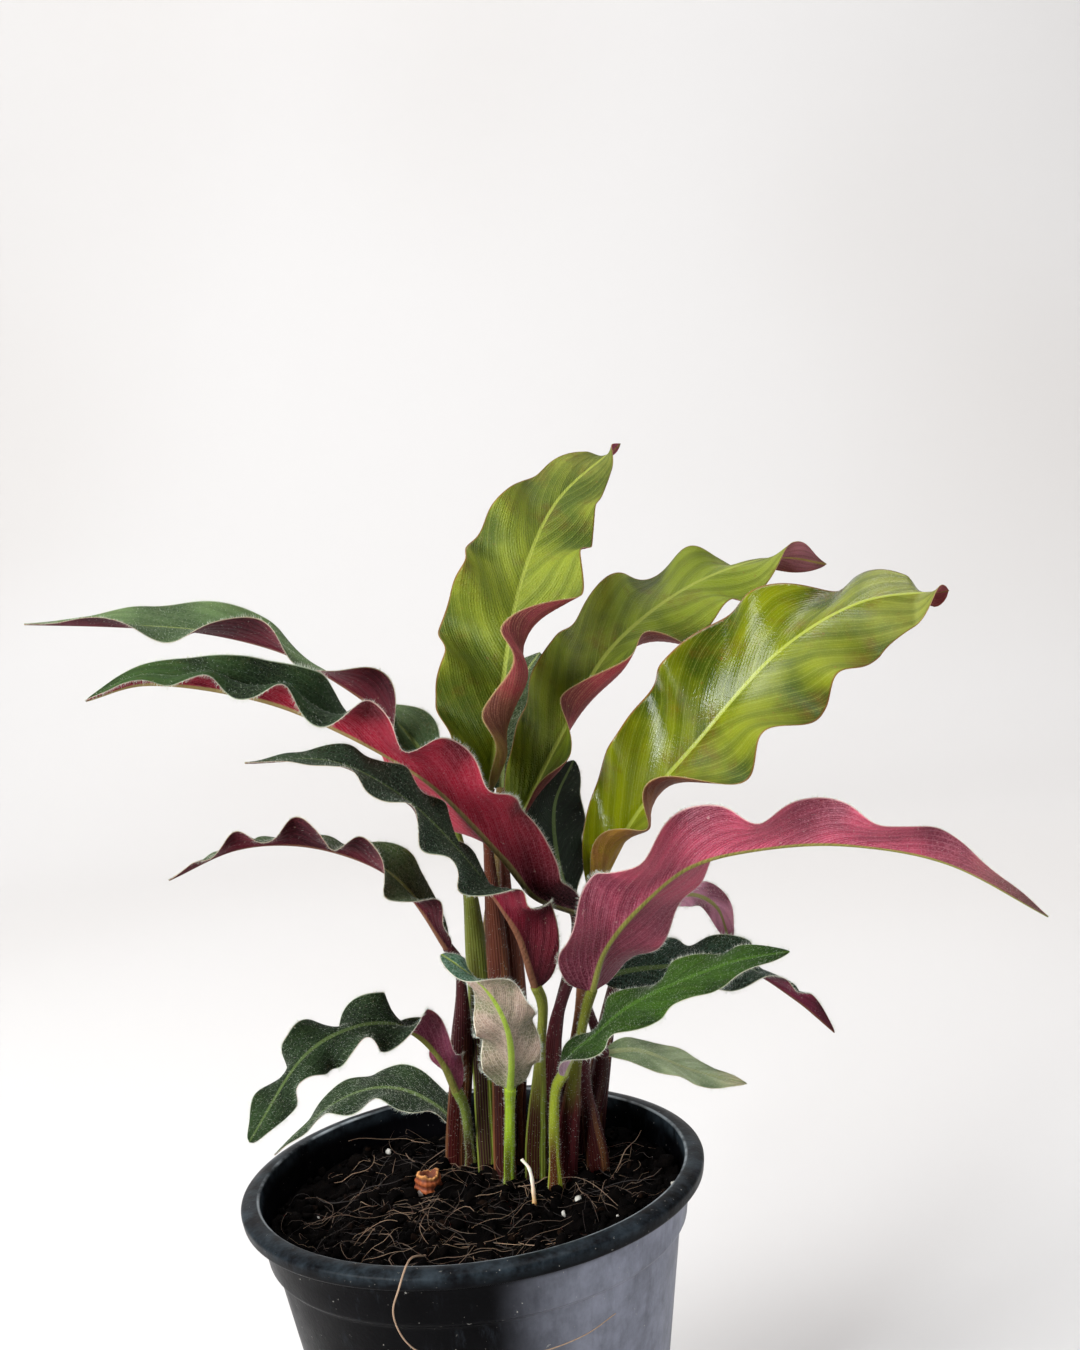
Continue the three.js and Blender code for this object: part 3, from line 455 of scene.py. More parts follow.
class Shader:
    """A material with a few short calls for wiring its nodes."""

    def __init__(self, name, **settings):
        self.material = bpy.data.materials.new(name)
        self.material.use_nodes = True
        self.tree = self.material.node_tree
        self.bsdf = self.tree.nodes["Principled BSDF"]
        for socket, value in settings.items():
            self.bsdf.inputs[socket.replace("_", " ")].default_value = value

    def plug(self, socket, value):
        """Set a socket to a number or a hex code's colour, or link it to a node's output."""
        if isinstance(value, bpy.types.NodeSocket):
            self.tree.links.new(value, socket)
        else:
            socket.default_value = colour(value) if isinstance(value, str) else value

    def node(self, kind, **inputs):
        """A node of a kind, with its inputs set or linked by name."""
        made = self.tree.nodes.new(kind)
        for socket, value in inputs.items():
            self.plug(made.inputs[socket.replace("_", " ")], value)
        return made

    def math(self, operation, a, b=0.0, c=0.0):
        """One Math node."""
        made = self.node("ShaderNodeMath")
        made.operation = operation
        for socket, value in zip(made.inputs, (a, b, c)):
            self.plug(socket, value)
        return made.outputs[0]

    def times(self, a, b):
        """The product."""
        return self.math("MULTIPLY", a, b)

    def plus(self, a, b):
        """The sum."""
        return self.math("ADD", a, b)

    def scaled(self, value, factor, start):
        """The value times factor, plus start."""
        return self.math("MULTIPLY_ADD", value, factor, start)

    def ramp(self, value, low, high):
        """Eased 0 to 1 as value goes from low to high."""
        made = self.node("ShaderNodeMapRange", Value=value, From_Min=low, From_Max=high)
        made.interpolation_type = "SMOOTHSTEP"
        return made.outputs["Result"]

    def mix(self, share, a, b):
        """Colour a to colour b by share."""
        made = self.node("ShaderNodeMix", Factor=share)
        made.data_type = "RGBA"
        for socket, value in ((6, a), (7, b)):
            self.plug(made.inputs[socket], value)
        return made.outputs[2]

    def cover(self, base, share, strength, code):
        """The colour base, covered with the colour of a hex code by share times strength."""
        return self.mix(self.times(share, strength), base, code)

    def field(self, name):
        """A named value stored on the mesh's points."""
        made = self.node("ShaderNodeAttribute")
        made.attribute_name = name
        return made.outputs["Fac"]

    def place(self):
        """The point's place on the object, in metres."""
        return self.node("ShaderNodeTexCoord").outputs["Object"]

    def noise(self, scale, detail=2.0, rough=0.5, vector=None):
        """Noise from 0 to 1, scale per metre."""
        made = self.node("ShaderNodeTexNoise", Scale=scale, Detail=detail, Roughness=rough)
        self.plug(made.inputs["Vector"], vector if vector is not None else self.place())
        return made.outputs["Fac"]

    def net(self, scale, width):
        """1 on the borders between rough cells, scale of them to a metre, and 0 inside them."""
        made = self.node("ShaderNodeTexVoronoi", Scale=scale, Vector=self.place())
        made.feature = "DISTANCE_TO_EDGE"
        return self.ramp(made.outputs["Distance"], width, 0.0)

    def bump(self, height, distance, strength=1.0, under=None):
        """A bump of height times distance in metres."""
        made = self.node("ShaderNodeBump", Height=height, Distance=distance, Strength=strength)
        if under is not None:
            self.plug(made.inputs["Normal"], under)
        return made.outputs["Normal"]

    def finish(self, base, rough=None, normal=None):
        """Wire the colour, roughness and normal, and return the material."""
        for socket, value in (("Base Color", base), ("Roughness", rough), ("Normal", normal)):
            if value is not None:
                self.plug(self.bsdf.inputs[socket], value)
        return self.material


def vein_pattern(shader, count, wander):
    """How near a point is to a side vein, 1 on it and 0 between two, from the blade's fields.

    Vein number = count * run, where run is the share of the blade's length at which the vein
    through this point leaves the midrib; a vein's line is where that number is whole.
    """
    number = shader.times(shader.field("run"), count)
    drift = shader.times(shader.noise(70, 2), wander)
    part = shader.math("FRACT", shader.plus(number, drift))
    return shader.times(shader.math("ABSOLUTE", shader.math("SUBTRACT", part, 0.5)), 2)


def three_way(shader, colours):
    """Colour from foot to middle to tip of a blade."""
    foot, middle, tip = colours
    t = shader.field("t")
    lower = shader.mix(shader.ramp(t, 0.02, 0.3), foot, middle)
    return shader.mix(shader.ramp(t, 0.72, 1.0), lower, tip)


def blade_material(name, look, upper, veins):
    """Skin of one side of a blade: its colours from foot to tip, veins, midrib, edge and grain.

    The skin darkens to its deep colour in broad patches of tone, and as painted shade in the
    hollows of the waves, told by the field fold, and in bands between every second pair of side
    veins. Fine lines follow the side veins, with rows of dots on them, and a net of small cells
    lies over velvety skin.
    """
    shader = Shader(name, Sheen_Weight=look["sheen"], Sheen_Roughness=0.4,
                    Subsurface_Weight=0.08, Subsurface_Scale=0.0015,
                    Specular_IOR_Level=look["shine"])
    shader.plug(shader.bsdf.inputs["Sheen Tint"], "9fb4a0" if upper else "c08a98")
    shader.bsdf.inputs["Subsurface Radius"].default_value = (1.0, 0.6, 0.3)
    main = vein_pattern(shader, veins, 0.35)
    fine = vein_pattern(shader, 4.0 * veins, 0.35)
    quilt_shade_bands = vein_pattern(shader, 0.5 * veins, 0.5)
    # The field fold marks the hollows of the waves, which get painted shade.
    fold = shader.times(shader.field("fold"), -0.3 if upper else 0.32)
    tone_and_hollow_shade = shader.plus(shader.noise(38, 3, 0.6), fold)
    dots = shader.times(shader.ramp(shader.noise(2300, 1), 0.53, 0.66),
                        shader.ramp(fine, 0.3, 0.8))
    mesh = shader.net(1000, 0.16)
    rib_width = shader.scaled(shader.field("t"), -0.6, 0.95)
    rib = shader.ramp(shader.math("DIVIDE", shader.field("off"), rib_width), 1.0, 0.6)
    margin = shader.ramp(shader.math("ABSOLUTE", shader.field("side")), 0.965, 0.995)
    base = three_way(shader, look["colours"])
    # The deep colour goes over patches of tone and, as painted shade, over the hollows and the
    # bands between pairs of side veins.
    for share, strength, part in (
            (shader.ramp(tone_and_hollow_shade, 0.4, 0.72), 0.85, "deep"),
            (shader.ramp(quilt_shade_bands, 0.25, 0.85), look["bands"], "deep"),
            (shader.ramp(shader.noise(95, 4, 0.65), 0.5, 0.75), look["stained"], "stain"),
            (shader.ramp(main, 0.88, 1.0), 0.3, "vein"),
            (shader.ramp(fine, 0.55, 1.0), 0.22 * look["lines"], "vein"),
            (dots, 0.4 * look["lines"], "vein"),
            (mesh, look["net"], "vein"),
            (shader.ramp(shader.noise(700, 2, 0.5), 0.7, 0.78), 0.4, "edge"),
            (rib, 0.85, "rib"),
            (margin, 0.75, "edge")):
        base = shader.cover(base, share, strength, look[part])
    left, right = look["rough"]
    over = shader.ramp(shader.field("side"), -0.1, 0.5)
    rough = shader.plus(shader.scaled(over, right - left, left),
                        shader.times(shader.noise(300, 3, 0.6), 0.16))
    height = shader.scaled(main, 0.5, shader.times(fine, 0.3))
    relief = shader.bump(height, 0.00024, look["grain"])
    cells = shader.bump(shader.plus(mesh, shader.noise(3800, 2, 0.6)), 0.00009,
                        0.7 * look["grain"], relief)
    return shader.finish(base, rough, cells)


def hair_material(name, code):
    """Fine pale hairs."""
    shader = Shader(name, Roughness=0.5, Subsurface_Weight=0.1, Subsurface_Scale=0.0005)
    return shader.finish(shader.mix(shader.noise(3000), code, "f0f2e6"))


# Blades

def blade_grid(leaf, rows, steps):
    """The middle sheet of a blade as a grid of points, rows along it and 2 * steps + 1 across.

    From the midrib each half is carried out in short straight steps. With u = t - sweep * s, for
    t along the blade and s across it, a step's angle to flat is lift(u) + curl(u) * s
    + swing * fade * s^0.6 * sin(2 pi (count * (u + crowd * u^2) + phase)), plus a weaker and
    quicker wave that roughens the first one.
    """
    t = np.linspace(0, 1, rows)
    centre, ahead = along(smooth_line(leaf["midrib"]), t)
    face = blend(leaf["face"], t)
    up = unit(face - ahead * np.sum(face * ahead, axis=1, keepdims=True))
    roll_start, roll_turn = leaf.get("roll", NO_ROLL)
    roll = np.radians(roll_turn) * smoothstep(roll_start, 1, t)[:, None]
    up = up * np.cos(roll) + np.cross(ahead, up) * np.sin(roll)
    aside = np.cross(ahead, up)
    rise, fall = leaf["belly"]
    peak = rise / (rise + fall)
    outline = t**rise * (1 - t) ** fall / (peak**rise * (1 - peak) ** fall)
    foot = BLADE_FOOT * smoothstep(1.0, 0.93, t) + 0.08
    width = np.maximum(foot, leaf["half"] * outline)
    middles = (np.arange(steps) + 0.5)[None] / steps
    fade = np.minimum(1, 6 * t) * np.minimum(1, 5 * (1 - t))
    halves, folds = [], []
    count, crowd, sweep = leaf["waves"]
    for sign, side in ((-1, leaf["left"]), (1, leaf["right"])):
        start = np.maximum(0, t[:, None] - sweep * middles)
        number = count * (start + crowd * start**2)
        wave = np.sin(math.tau * (number + side["phase"]))
        quick = np.sin(math.tau * (2.3 * number + 2.7 * side["phase"] + 0.4))
        angle = (blend(side["lift"], start) + blend(side["curl"], start) * middles
                 + side["swing"] * fade[:, None] * middles**WAVE_SPREAD
                 * (wave + 0.22 * middles * quick))
        angle = np.radians(angle)[..., None]
        step = sign * aside[:, None] * np.cos(angle) + up[:, None] * np.sin(angle)
        halves.append(centre[:, None] + np.cumsum(step * (width / steps)[:, None, None], axis=1))
        folds.append(np.cumsum(middles * wave, axis=1) * fade[:, None] * 2 / steps)
    grid = np.concatenate([halves[0][:, ::-1], centre[:, None], halves[1]], axis=1)
    side = np.concatenate([-np.arange(steps, 0, -1), [0], np.arange(1, steps + 1)]) / steps
    fold = np.concatenate([folds[0][:, ::-1], np.zeros((rows, 1)), folds[1]], axis=1)
    return grid, t, side, width, fold


def blade_shape(leaf):
    """A closed blade: the sheet thickened to both sides, with a keel under its midrib.

    Half thickness falls from 0.22 mm to 0.07 mm at the margin. The keel is a rounded ridge, the
    upper side has a shallow groove over it, and the skin between two side veins stands out.
    """
    rows, steps = GRAIN[leaf["size"]]
    grid, t, side, width, fold = blade_grid(leaf, rows, steps)
    normal = unit(np.cross(np.gradient(grid, axis=1), np.gradient(grid, axis=0)))
    s = np.abs(side)[None]
    off = s * width[:, None]
    half = MARGIN_HALF + (MIDDLE_HALF - MARGIN_HALF) * (1 - s**3) + 0 * off
    keel = (0.95 * (1 - t[:, None]) + 0.12) * np.exp(-((off / 0.95) ** 2))
    groove = 0.3 * (1 - 0.6 * t[:, None]) * np.exp(-((off / 0.8) ** 2))
    run = t[:, None] - FINE_SWEEP * s**1.15
    quilt = 0.1 * np.abs(np.sin(math.pi * VEINS[leaf["size"]] * run))
    quilt = quilt * smoothstep(0.02, 0.2, s) * (1 - s**4) * np.minimum(1, width / 6)[:, None]
    top = grid + normal * (half - groove * (off < 3) + quilt)[..., None]
    bottom = grid - normal * (half + keel - quilt)[..., None]
    columns = len(side)
    loop = np.concatenate([top, bottom[:, ::-1]], axis=1)
    ring = 2 * columns
    quads = ring_faces(rows, ring)
    j = np.arange(columns - 1)
    beneath = ring - 1 - j
    start = np.stack([j, beneath, beneath - 1, j + 1], axis=1)
    end = start[:, ::-1] + (rows - 1) * ring
    is_under = np.tile(np.arange(ring) >= columns - 1, rows - 1)
    slots = np.concatenate([is_under.astype(int), np.zeros(2 * (columns - 1), int)])
    fields = {"t": np.repeat(t, ring), "side": np.tile(np.concatenate([side, side[::-1]]), rows)}
    for field, values in (("off", off), ("run", run), ("fold", fold)):
        fields[field] = np.concatenate([values, values[:, ::-1]], axis=1).ravel()
    uv = np.stack([0.5 + 0.5 * fields["side"], fields["t"]], axis=1)
    return grid, normal, width, loop.reshape(-1, 3), [quads, start, end], slots, fields, uv


def blade_hairs(grid, normal, width, random, margin_density, fuzz, margin_length):
    """Hairs of a blade: a fringe along both margins and short fuzz on both sides."""
    rows, columns, _ = grid.shape
    roots, ways, lengths, thick = [], [], [], []
    for edge, inner in ((0, 1), (columns - 1, columns - 2)):
        rim = grid[:, edge]
        run = length_along(rim)
        count = int(run[-1] * margin_density)
        place = np.sort(random.uniform(0.02, 1, count)) * run[-1]
        index = np.interp(place, run, np.arange(rows))
        low = np.minimum(index.astype(int), rows - 2)
        part = (index - low)[:, None]
        outward = unit(grid[low, edge] - grid[low, inner])
        forward = unit(grid[low + 1, edge] - grid[low, edge])
        roots.append(rim[low] * (1 - part) + rim[low + 1] * part)
        spread = random.normal(0, 0.45, (count, 1))
        ahead = forward * random.uniform(0, 1, (count, 1))
        ways.append(outward + 0.5 * ahead + spread * normal[low, edge])
        lengths.append(margin_length * random.uniform(0.45, 1.25, count))
        thick.append(np.full(count, FRINGE_RADIUS))
    row = random.uniform(0.02, 0.985, fuzz * 3) * (rows - 1)
    column = random.uniform(0, columns - 1, fuzz * 3)
    keep = random.uniform(0, width.max(), fuzz * 3) < width[row.astype(int)]
    row, column = row[keep][:fuzz], column[keep][:fuzz]
    i, j = np.minimum(row.astype(int), rows - 2), np.minimum(column.astype(int), columns - 2)
    u, v = (row - i)[:, None], (column - j)[:, None]
    at = ((grid[i, j] * (1 - u) + grid[i + 1, j] * u) * (1 - v)
          + (grid[i, j + 1] * (1 - u) + grid[i + 1, j + 1] * u) * v)
    out = normal[i, j]
    forward = unit(grid[i + 1, j] - grid[i, j])
    both = np.where(random.uniform(0, 1, (len(at), 1)) < 0.85, 1.0, -1.0)
    roots.append(at + out * both * 0.2)
    ways.append(out * both + 0.7 * forward + random.normal(0, 0.3, at.shape))
    lengths.append(random.uniform(0.3, 0.65, len(at)))
    thick.append(np.full(len(at), FUZZ_RADIUS))
    return np.vstack(roots), np.vstack(ways), np.concatenate(lengths), np.concatenate(thick)


def skin_look(foot, middle, tip, deep, vein, rib, edge, stain="5a2a1c", rough=(0.5, 0.5),
              sheen=0.03, shine=0.12, net=0.0, stained=0.0, grain=1.0, lines=0.7, bands=0.28):
    """Look of one side of a blade.

    It holds the colour at foot, middle and tip and the deep colour, which gives darker patches of
    tone and painted shade in the hollows of the waves and between pairs of side veins; those of
    the veins, midrib, margin and stains; the roughness of the left and right half, the sheen and
    shine; and how strong the net of cells, stains, relief, fine lines and the dark bands of
    painted shade are.
    """
    return {"colours": (foot, middle, tip), "deep": deep, "vein": vein, "rib": rib, "edge": edge,
            "stain": stain, "rough": rough, "sheen": sheen, "shine": shine, "net": net,
            "stained": stained, "grain": grain, "lines": lines, "bands": bands}


# Looks shared by several leaves.
YOUNG_TOP = skin_look("747e10", "757f1e", "7c7e38", "34460a", "9aa24a", "949c3e", "7a4a26",
                      stain="5c4410", rough=(0.42, 0.5), sheen=0.0, shine=0.2, stained=0.6,
                      lines=0.35, bands=0.3)
YOUNG_UNDER = skin_look("8c8036", "8a3a40", "a84c62", "4f2620", "b07a60", "8f7a3a", "a08a5a",
                        stain="842430", rough=(0.5, 0.5), sheen=0.05, stained=0.7)
DARK_TOP = skin_look("0b1407", "15240c", "203412", "060a04", "465a3c", "4f5f34", "a9b59a",
                     rough=(0.55, 0.55), shine=0.1, net=0.24)
GREY_TOP = skin_look("1e2e14", "344826", "445634", "101a0a", "72805e", "808c50", "b4bda4",
                     rough=(0.55, 0.55), shine=0.1, net=0.28)
CRIMSON = skin_look("1c060b", "9c1a30", "8a2238", "34060c", "c4707c", "8f8450", "d0b0a4",
                    rough=(0.42, 0.42), sheen=0.06, net=0.14, bands=0.15)
MAROON = skin_look("26080e", "561420", "60202c", "180509", "86404c", "77503a", "b9a890",
                   rough=(0.45, 0.45), sheen=0.02, net=0.1)
PINK = skin_look("842440", "a83a56", "4f4a38", "4f0e22", "c8808e", "7d8236", "c8a4a0",
                 rough=(0.36, 0.36), sheen=0.06, shine=0.25, net=0.12, bands=0.2)

# Each leaf's upper side, under side, and its stalk's sheath, stripe and upper colours.
LOOKS = {
    "leaf_top": (YOUNG_TOP, YOUNG_UNDER, ("2e0a0a", "6e4426", "54281a")),
    "leaf_upper_middle": (
        {**YOUNG_TOP, "colours": ("6a7a10", "78861c", "848640"), "deep": "2c3a0a"},
        {**YOUNG_UNDER, "colours": ("74282a", "8a343a", "b4747c"), "stained": 0.2},
        ("340c0c", "7a4a30", "5c2c20")),
    "leaf_upper_right": (
        {**YOUNG_TOP, "colours": ("868c02", "6c740a", "767a30"), "deep": "1c3206",
         "rough": (0.1, 0.6), "shine": 0.28, "grain": 0.3},
        {**YOUNG_UNDER, "colours": ("9a8218", "8a5428", "8a3f44"), "stained": 0.4},
        ("3c140e", "8a6440", "744a30")),
    "leaf_upper_left": (
        {**GREY_TOP, "colours": ("3c5030", "5e7648", "6c8452"), "deep": "2a3c22"}, MAROON,
        ("2a0e10", "6f7a2c", "7a8234")),
    "leaf_left_long": (
        {**DARK_TOP, "colours": ("0b1407", "16280d", "3e5a26")}, CRIMSON,
        ("340a0c", "4a1a1c", "3a1018")),
    "leaf_left_middle": (
        {**DARK_TOP, "colours": ("263a2a", "10190a", "263a12"), "vein": "587058", "net": 0.26},
        {**MAROON, "colours": ("4a0c16", "741428", "5a1c2a")},
        ("33100f", "6f7a2c", "8a8e3a")),
    "leaf_left_low": (GREY_TOP, MAROON, ("340a0c", "5e3a22", "3a1218")),
    "leaf_lower_left": (DARK_TOP, {**PINK, "colours": ("7a3048", "6a2440", "4a2430")},
                        ("33100f", "6f7434", "7a8a3a")),
    "leaf_rim_left": ({**DARK_TOP, "net": 0.15}, MAROON, ("2c1412", "4a4a28", "5a6238")),
    "leaf_right_long": (DARK_TOP, {**PINK, "colours": ("541529", "a0384f", "4f4a38")},
                        ("300809", "4a1a1c", "6a7024")),
    # Its underside is lighter than PINK: partly its own paler pink, partly painted light, since it
    # sits in shade at the back.
    "leaf_right_small": (GREY_TOP, {**PINK, "colours": ("b0708a", "cc8ca4", "a05a74")},
                         ("340a0c", "5e3a22", "4a1c26")),
    "leaf_right_dark": (
        {**DARK_TOP, "vein": "50685a", "net": 0.3},
        {**MAROON, "colours": ("4a1626", "782040", "5e2030")},
        ("340a0c", "3c2018", "3c141a")),
    "leaf_right_bright": (
        skin_look("203604", "284404", "1e380a", "0b1a05", "4c6c32", "42621f", "a2ae80",
                  rough=(0.5, 0.5), net=0.22),
        skin_look("c8a8b4", "9a6078", "6a3040", "6a4a58", "b48c9c", "8f9a4c", "c8c0b0", net=0.1),
        ("4a1c14", "848a28", "8f9a2e")),
    "leaf_right_pale": (
        skin_look("748c5a", "aab88c", "e0d4a4", "5c7048", "a0ac88", "a8b07c", "d8d0a8", net=0.2),
        skin_look("7a6c60", "9c8e7c", "d4c898", "5c504a", "b0a494", "a0a080", "d8d0a8", net=0.1),
        ("340a0c", "5e3a22", "42181e")),
    "leaf_front": (
        skin_look("355a3c", "3c6444", "4a7250", "22402a", "86a894", "9aae4c", "e0d6b8", net=0.45),
        skin_look("666c46", "9c8476", "b89a90", "50543a", "cfbcab", "8ca62e", "f0e8d4",
                  stain="5f6c40", rough=(0.45, 0.45), net=0.3, stained=0.7),
        ("4a4a14", "84a020", "92ac2c")),
    # Its upper side is a darker copy of DARK_TOP: partly its own near-black green, partly painted
    # shade where it stands at the back among the stalks.
    "leaf_back_dark": (
        {**DARK_TOP, "colours": ("091208", "0c180c", "12200e"), "vein": "24361c",
         "rough": (0.45, 0.45), "shine": 0.15, "net": 0.05},
        MAROON, ("340a0c", "5e4424", "3a1a1a")),
    "leaf_back_grey": (GREY_TOP, MAROON, ("33160f", "6a5030", "705a34")),
}

# Fringe hairs per millimetre of margin, number of fuzz hairs and fringe length, by kind of leaf.
HAIR = {"young": (1.0, 0, 0.3), "velvet": (6.5, 3000, 1.15), "pale": (4.0, 1800, 0.8),
        "smooth": (5.0, 200, 1.0)}

# The leaves that aren't velvety.
HAIR_KIND = {"leaf_top": "young", "leaf_upper_middle": "young", "leaf_upper_right": "young",
             "leaf_back_dark": "smooth", "leaf_right_pale": "pale", "leaf_back_grey": "pale"}


def dress_blade(leaf, hair, random):
    """Make one blade with its hairs, in place of its solid."""
    name = leaf["name"]
    upper_look, under_look, _ = LOOKS[name]
    grid, normal, width, points, faces, slots, fields, uv = blade_shape(leaf)
    veins = VEINS[leaf["size"]]
    materials = [blade_material(f"{name}_upper", upper_look, True, veins),
                 blade_material(f"{name}_under", under_look, False, veins)]
    piece = make_mesh(f"{name}_skin", points, faces, uv=uv, slots=slots, materials=materials,
                      fields=fields)
    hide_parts(f"{name}_blade")
    kind = HAIR[HAIR_KIND.get(name, "velvet")]
    points, faces = spikes(*blade_hairs(grid, normal, width, random, *kind))
    make_mesh(f"{name}_hairs", points, [faces], materials=[hair])


# Stalks

def stalk_line(leaf):
    """From below the soil, by the leaf's own points, into the foot of its blade."""
    foot, ahead = along(smooth_line(leaf["midrib"]), np.array([0.0]))
    x, y = leaf["root"]
    points = [(x, y, SOIL_LEVEL - ROOT_DEPTH), (x, y, SOIL_LEVEL + 1), *leaf["via"],
              foot[0] - 5 * ahead[0], foot[0] + 0.5 * ahead[0]]
    return smooth_line(points, 0.5)


def stalk_radius(leaf, t):
    """A broad sheath below, a slim stalk above and a slight swelling at its top."""
    full, slim = leaf.get("sheath", SHEATH)
    return (SHEATH_RADIUS - (SHEATH_RADIUS - STALK_RADIUS) * smoothstep(full, slim, t)
            + STALK_SWELL * smoothstep(0.85, 0.95, t))


def stalk_section(t, turn):
    """Factor on the radius: a flattened sheath with a lapped edge, and fine ribs along it."""
    sheath = 1 - smoothstep(0.45, 0.8, t)
    past_lap = np.mod(turn - 4.3, math.tau)
    flat = 1 + 0.13 * sheath * np.cos(2 * turn)
    lap = 0.1 * sheath * smoothstep(0.0, 0.12, past_lap) * np.exp(-past_lap / 0.8)
    return flat + lap + 0.02 * np.cos(9 * turn)


def stalk_material(name, codes):
    """Sheath colour below and stalk colour above, with stripes along them and fine speckles."""
    sheath, stripe, above = codes
    shader = Shader(name, Sheen_Weight=0.03, Sheen_Roughness=0.4, Subsurface_Weight=0.06,
                    Subsurface_Scale=0.001, Specular_IOR_Level=0.14)
    t, turn = shader.field("t"), shader.field("turn")
    drift = shader.noise(60, 2)
    wave = shader.math("SINE", shader.plus(shader.times(turn, 3.0), shader.times(drift, 3.0)))
    striped = shader.mix(shader.ramp(wave, 0.3, 0.75), sheath, stripe)
    top = shader.mix(shader.times(shader.ramp(wave, 0.2, 0.9), 0.35), above, sheath)
    base = shader.mix(shader.ramp(t, 0.42, 0.72), striped, top)
    lines = shader.math("SINE", shader.times(turn, 22.0))
    base = shader.mix(shader.times(shader.ramp(lines, 0.2, 1.0), 0.25), base, stripe)
    base = shader.cover(base, shader.ramp(shader.noise(1500, 2), 0.62, 0.75), 0.3, "2a1410")
    relief = shader.bump(lines, 0.00012, 0.6)
    grain = shader.bump(shader.noise(2500, 2), 0.0001, 0.5, relief)
    return shader.finish(base, shader.plus(0.38, shader.times(drift, 0.2)), grain)


def dress_stalk(leaf, hair, random):
    """Make one stalk with its hairs, in place of its solid."""
    name = leaf["name"]
    line = stalk_line(leaf)
    points, quads, fans, t, turn = tube(line, lambda t: stalk_radius(leaf, t), STALK_SIDES,
                                        STALK_ROWS, stalk_section)
    piece = make_mesh(f"{name}_stem", points, [quads, fans], fields={"t": t, "turn": turn},
                      materials=[stalk_material(f"{name}_stem", LOOKS[name][2])])
    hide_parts(f"{name}_stalk")
    height = random.uniform(0.16, 1, STALK_HAIRS)
    spin = random.uniform(0, math.tau, STALK_HAIRS)
    centre, ahead = along(line, height)
    side = unit(np.cross(ahead, [[0.0, 1.0, 0.1]]))
    other = np.cross(ahead, side)
    out = side * np.cos(spin)[:, None] + other * np.sin(spin)[:, None]
    roots = centre + out * (stalk_radius(leaf, height) * 0.97)[:, None]
    ways = out + 0.4 * ahead + random.normal(0, 0.25, out.shape)
    lengths = random.uniform(0.35, 0.9, STALK_HAIRS)
    points, faces = spikes(roots, ways, lengths, STALK_HAIR_RADIUS)
    make_mesh(f"{name}_stem_hairs", points, [faces], materials=[hair])


# Pot

def round_corners(profile, radius, steps=5):
    """Section line with each corner replaced by a short arc-like curve through its two sides."""
    profile = np.asarray(profile, float)
    line = [profile[0]]
    for before, corner, after in zip(profile, profile[1:], profile[2:]):
        back, ahead = before - corner, after - corner
        reach = min(radius, 0.45 * np.linalg.norm(back), 0.45 * np.linalg.norm(ahead))
        start, end = corner + unit(back) * reach, corner + unit(ahead) * reach
        for w in np.linspace(0, 1, steps):
            line.append((1 - w) ** 2 * start + 2 * w * (1 - w) * corner + w * w * end)
    line.append(profile[-1])
    return np.array(line)


def wall_radius(z):
    """Outer radius of the tapered lower wall at height z."""
    return BASE_RADIUS + (SHELF_RADIUS - LEDGE_STEP - BASE_RADIUS) * (z / LEDGE_HEIGHT)


def lathe(line, sides, wobble=1.0):
    """Closed body turned round Z from a section line that starts and ends on the axis.

    wobble is a factor on the radius round the turn. Returns points, quads and end triangles.
    """
    turn = round_turn(sides)
    radius, height = np.asarray(line[1:-1], float).T[..., None]
    rings = np.stack([radius * np.cos(turn) * wobble, radius * np.sin(turn) * wobble,
                      height + 0 * turn], axis=-1)
    return close_rings(rings, [0, 0, line[0][1]], [0, 0, line[-1][1]])


def pot_shape():
    """The pot's wall, floor and rolled rim, turned round its axis, as one closed body."""
    ledge, shelf, band = LEDGE_HEIGHT, SHELF_RADIUS, POT_HEIGHT - RIM_BAND_HEIGHT
    profile = [
        (0, 0), (BASE_RADIUS - 4, 0), (BASE_RADIUS - 0.8, 0), (BASE_RADIUS, 1),
        (wall_radius(30), 30), (wall_radius(60), 60), (wall_radius(ledge), ledge),
        (shelf, ledge + 1), (shelf + 1, ledge + 7), (COLLAR_RADIUS, band),
        (RIM_RADIUS - 0.5, band), (RIM_RADIUS, POT_HEIGHT - 1), (RIM_CREST_RADIUS, POT_HEIGHT),
        (RIM_INNER_RADIUS, POT_HEIGHT), (COLLAR_RADIUS - WALL - 0.3, band),
        (shelf - WALL, ledge + 0.4), (wall_radius(ledge) - WALL, ledge - 0.8),
        (wall_radius(45) - WALL, 45), (BASE_RADIUS - WALL, 2.4), (BASE_RADIUS - WALL - 1, WALL),
        (0, WALL),
    ]
    oval = 1 + 0.0025 * np.sin(2 * round_turn(POT_SIDES) + 0.6)
    return lathe(round_corners(profile, 0.9), POT_SIDES, oval)


# Where the pot's rim band starts and where the painted highlight on its lip lies, in metres.
RIM_FOOT = 0.1005
LIP_RADIUS = 0.0553
LIP_HEIGHTS = (0.1044, 0.1048)


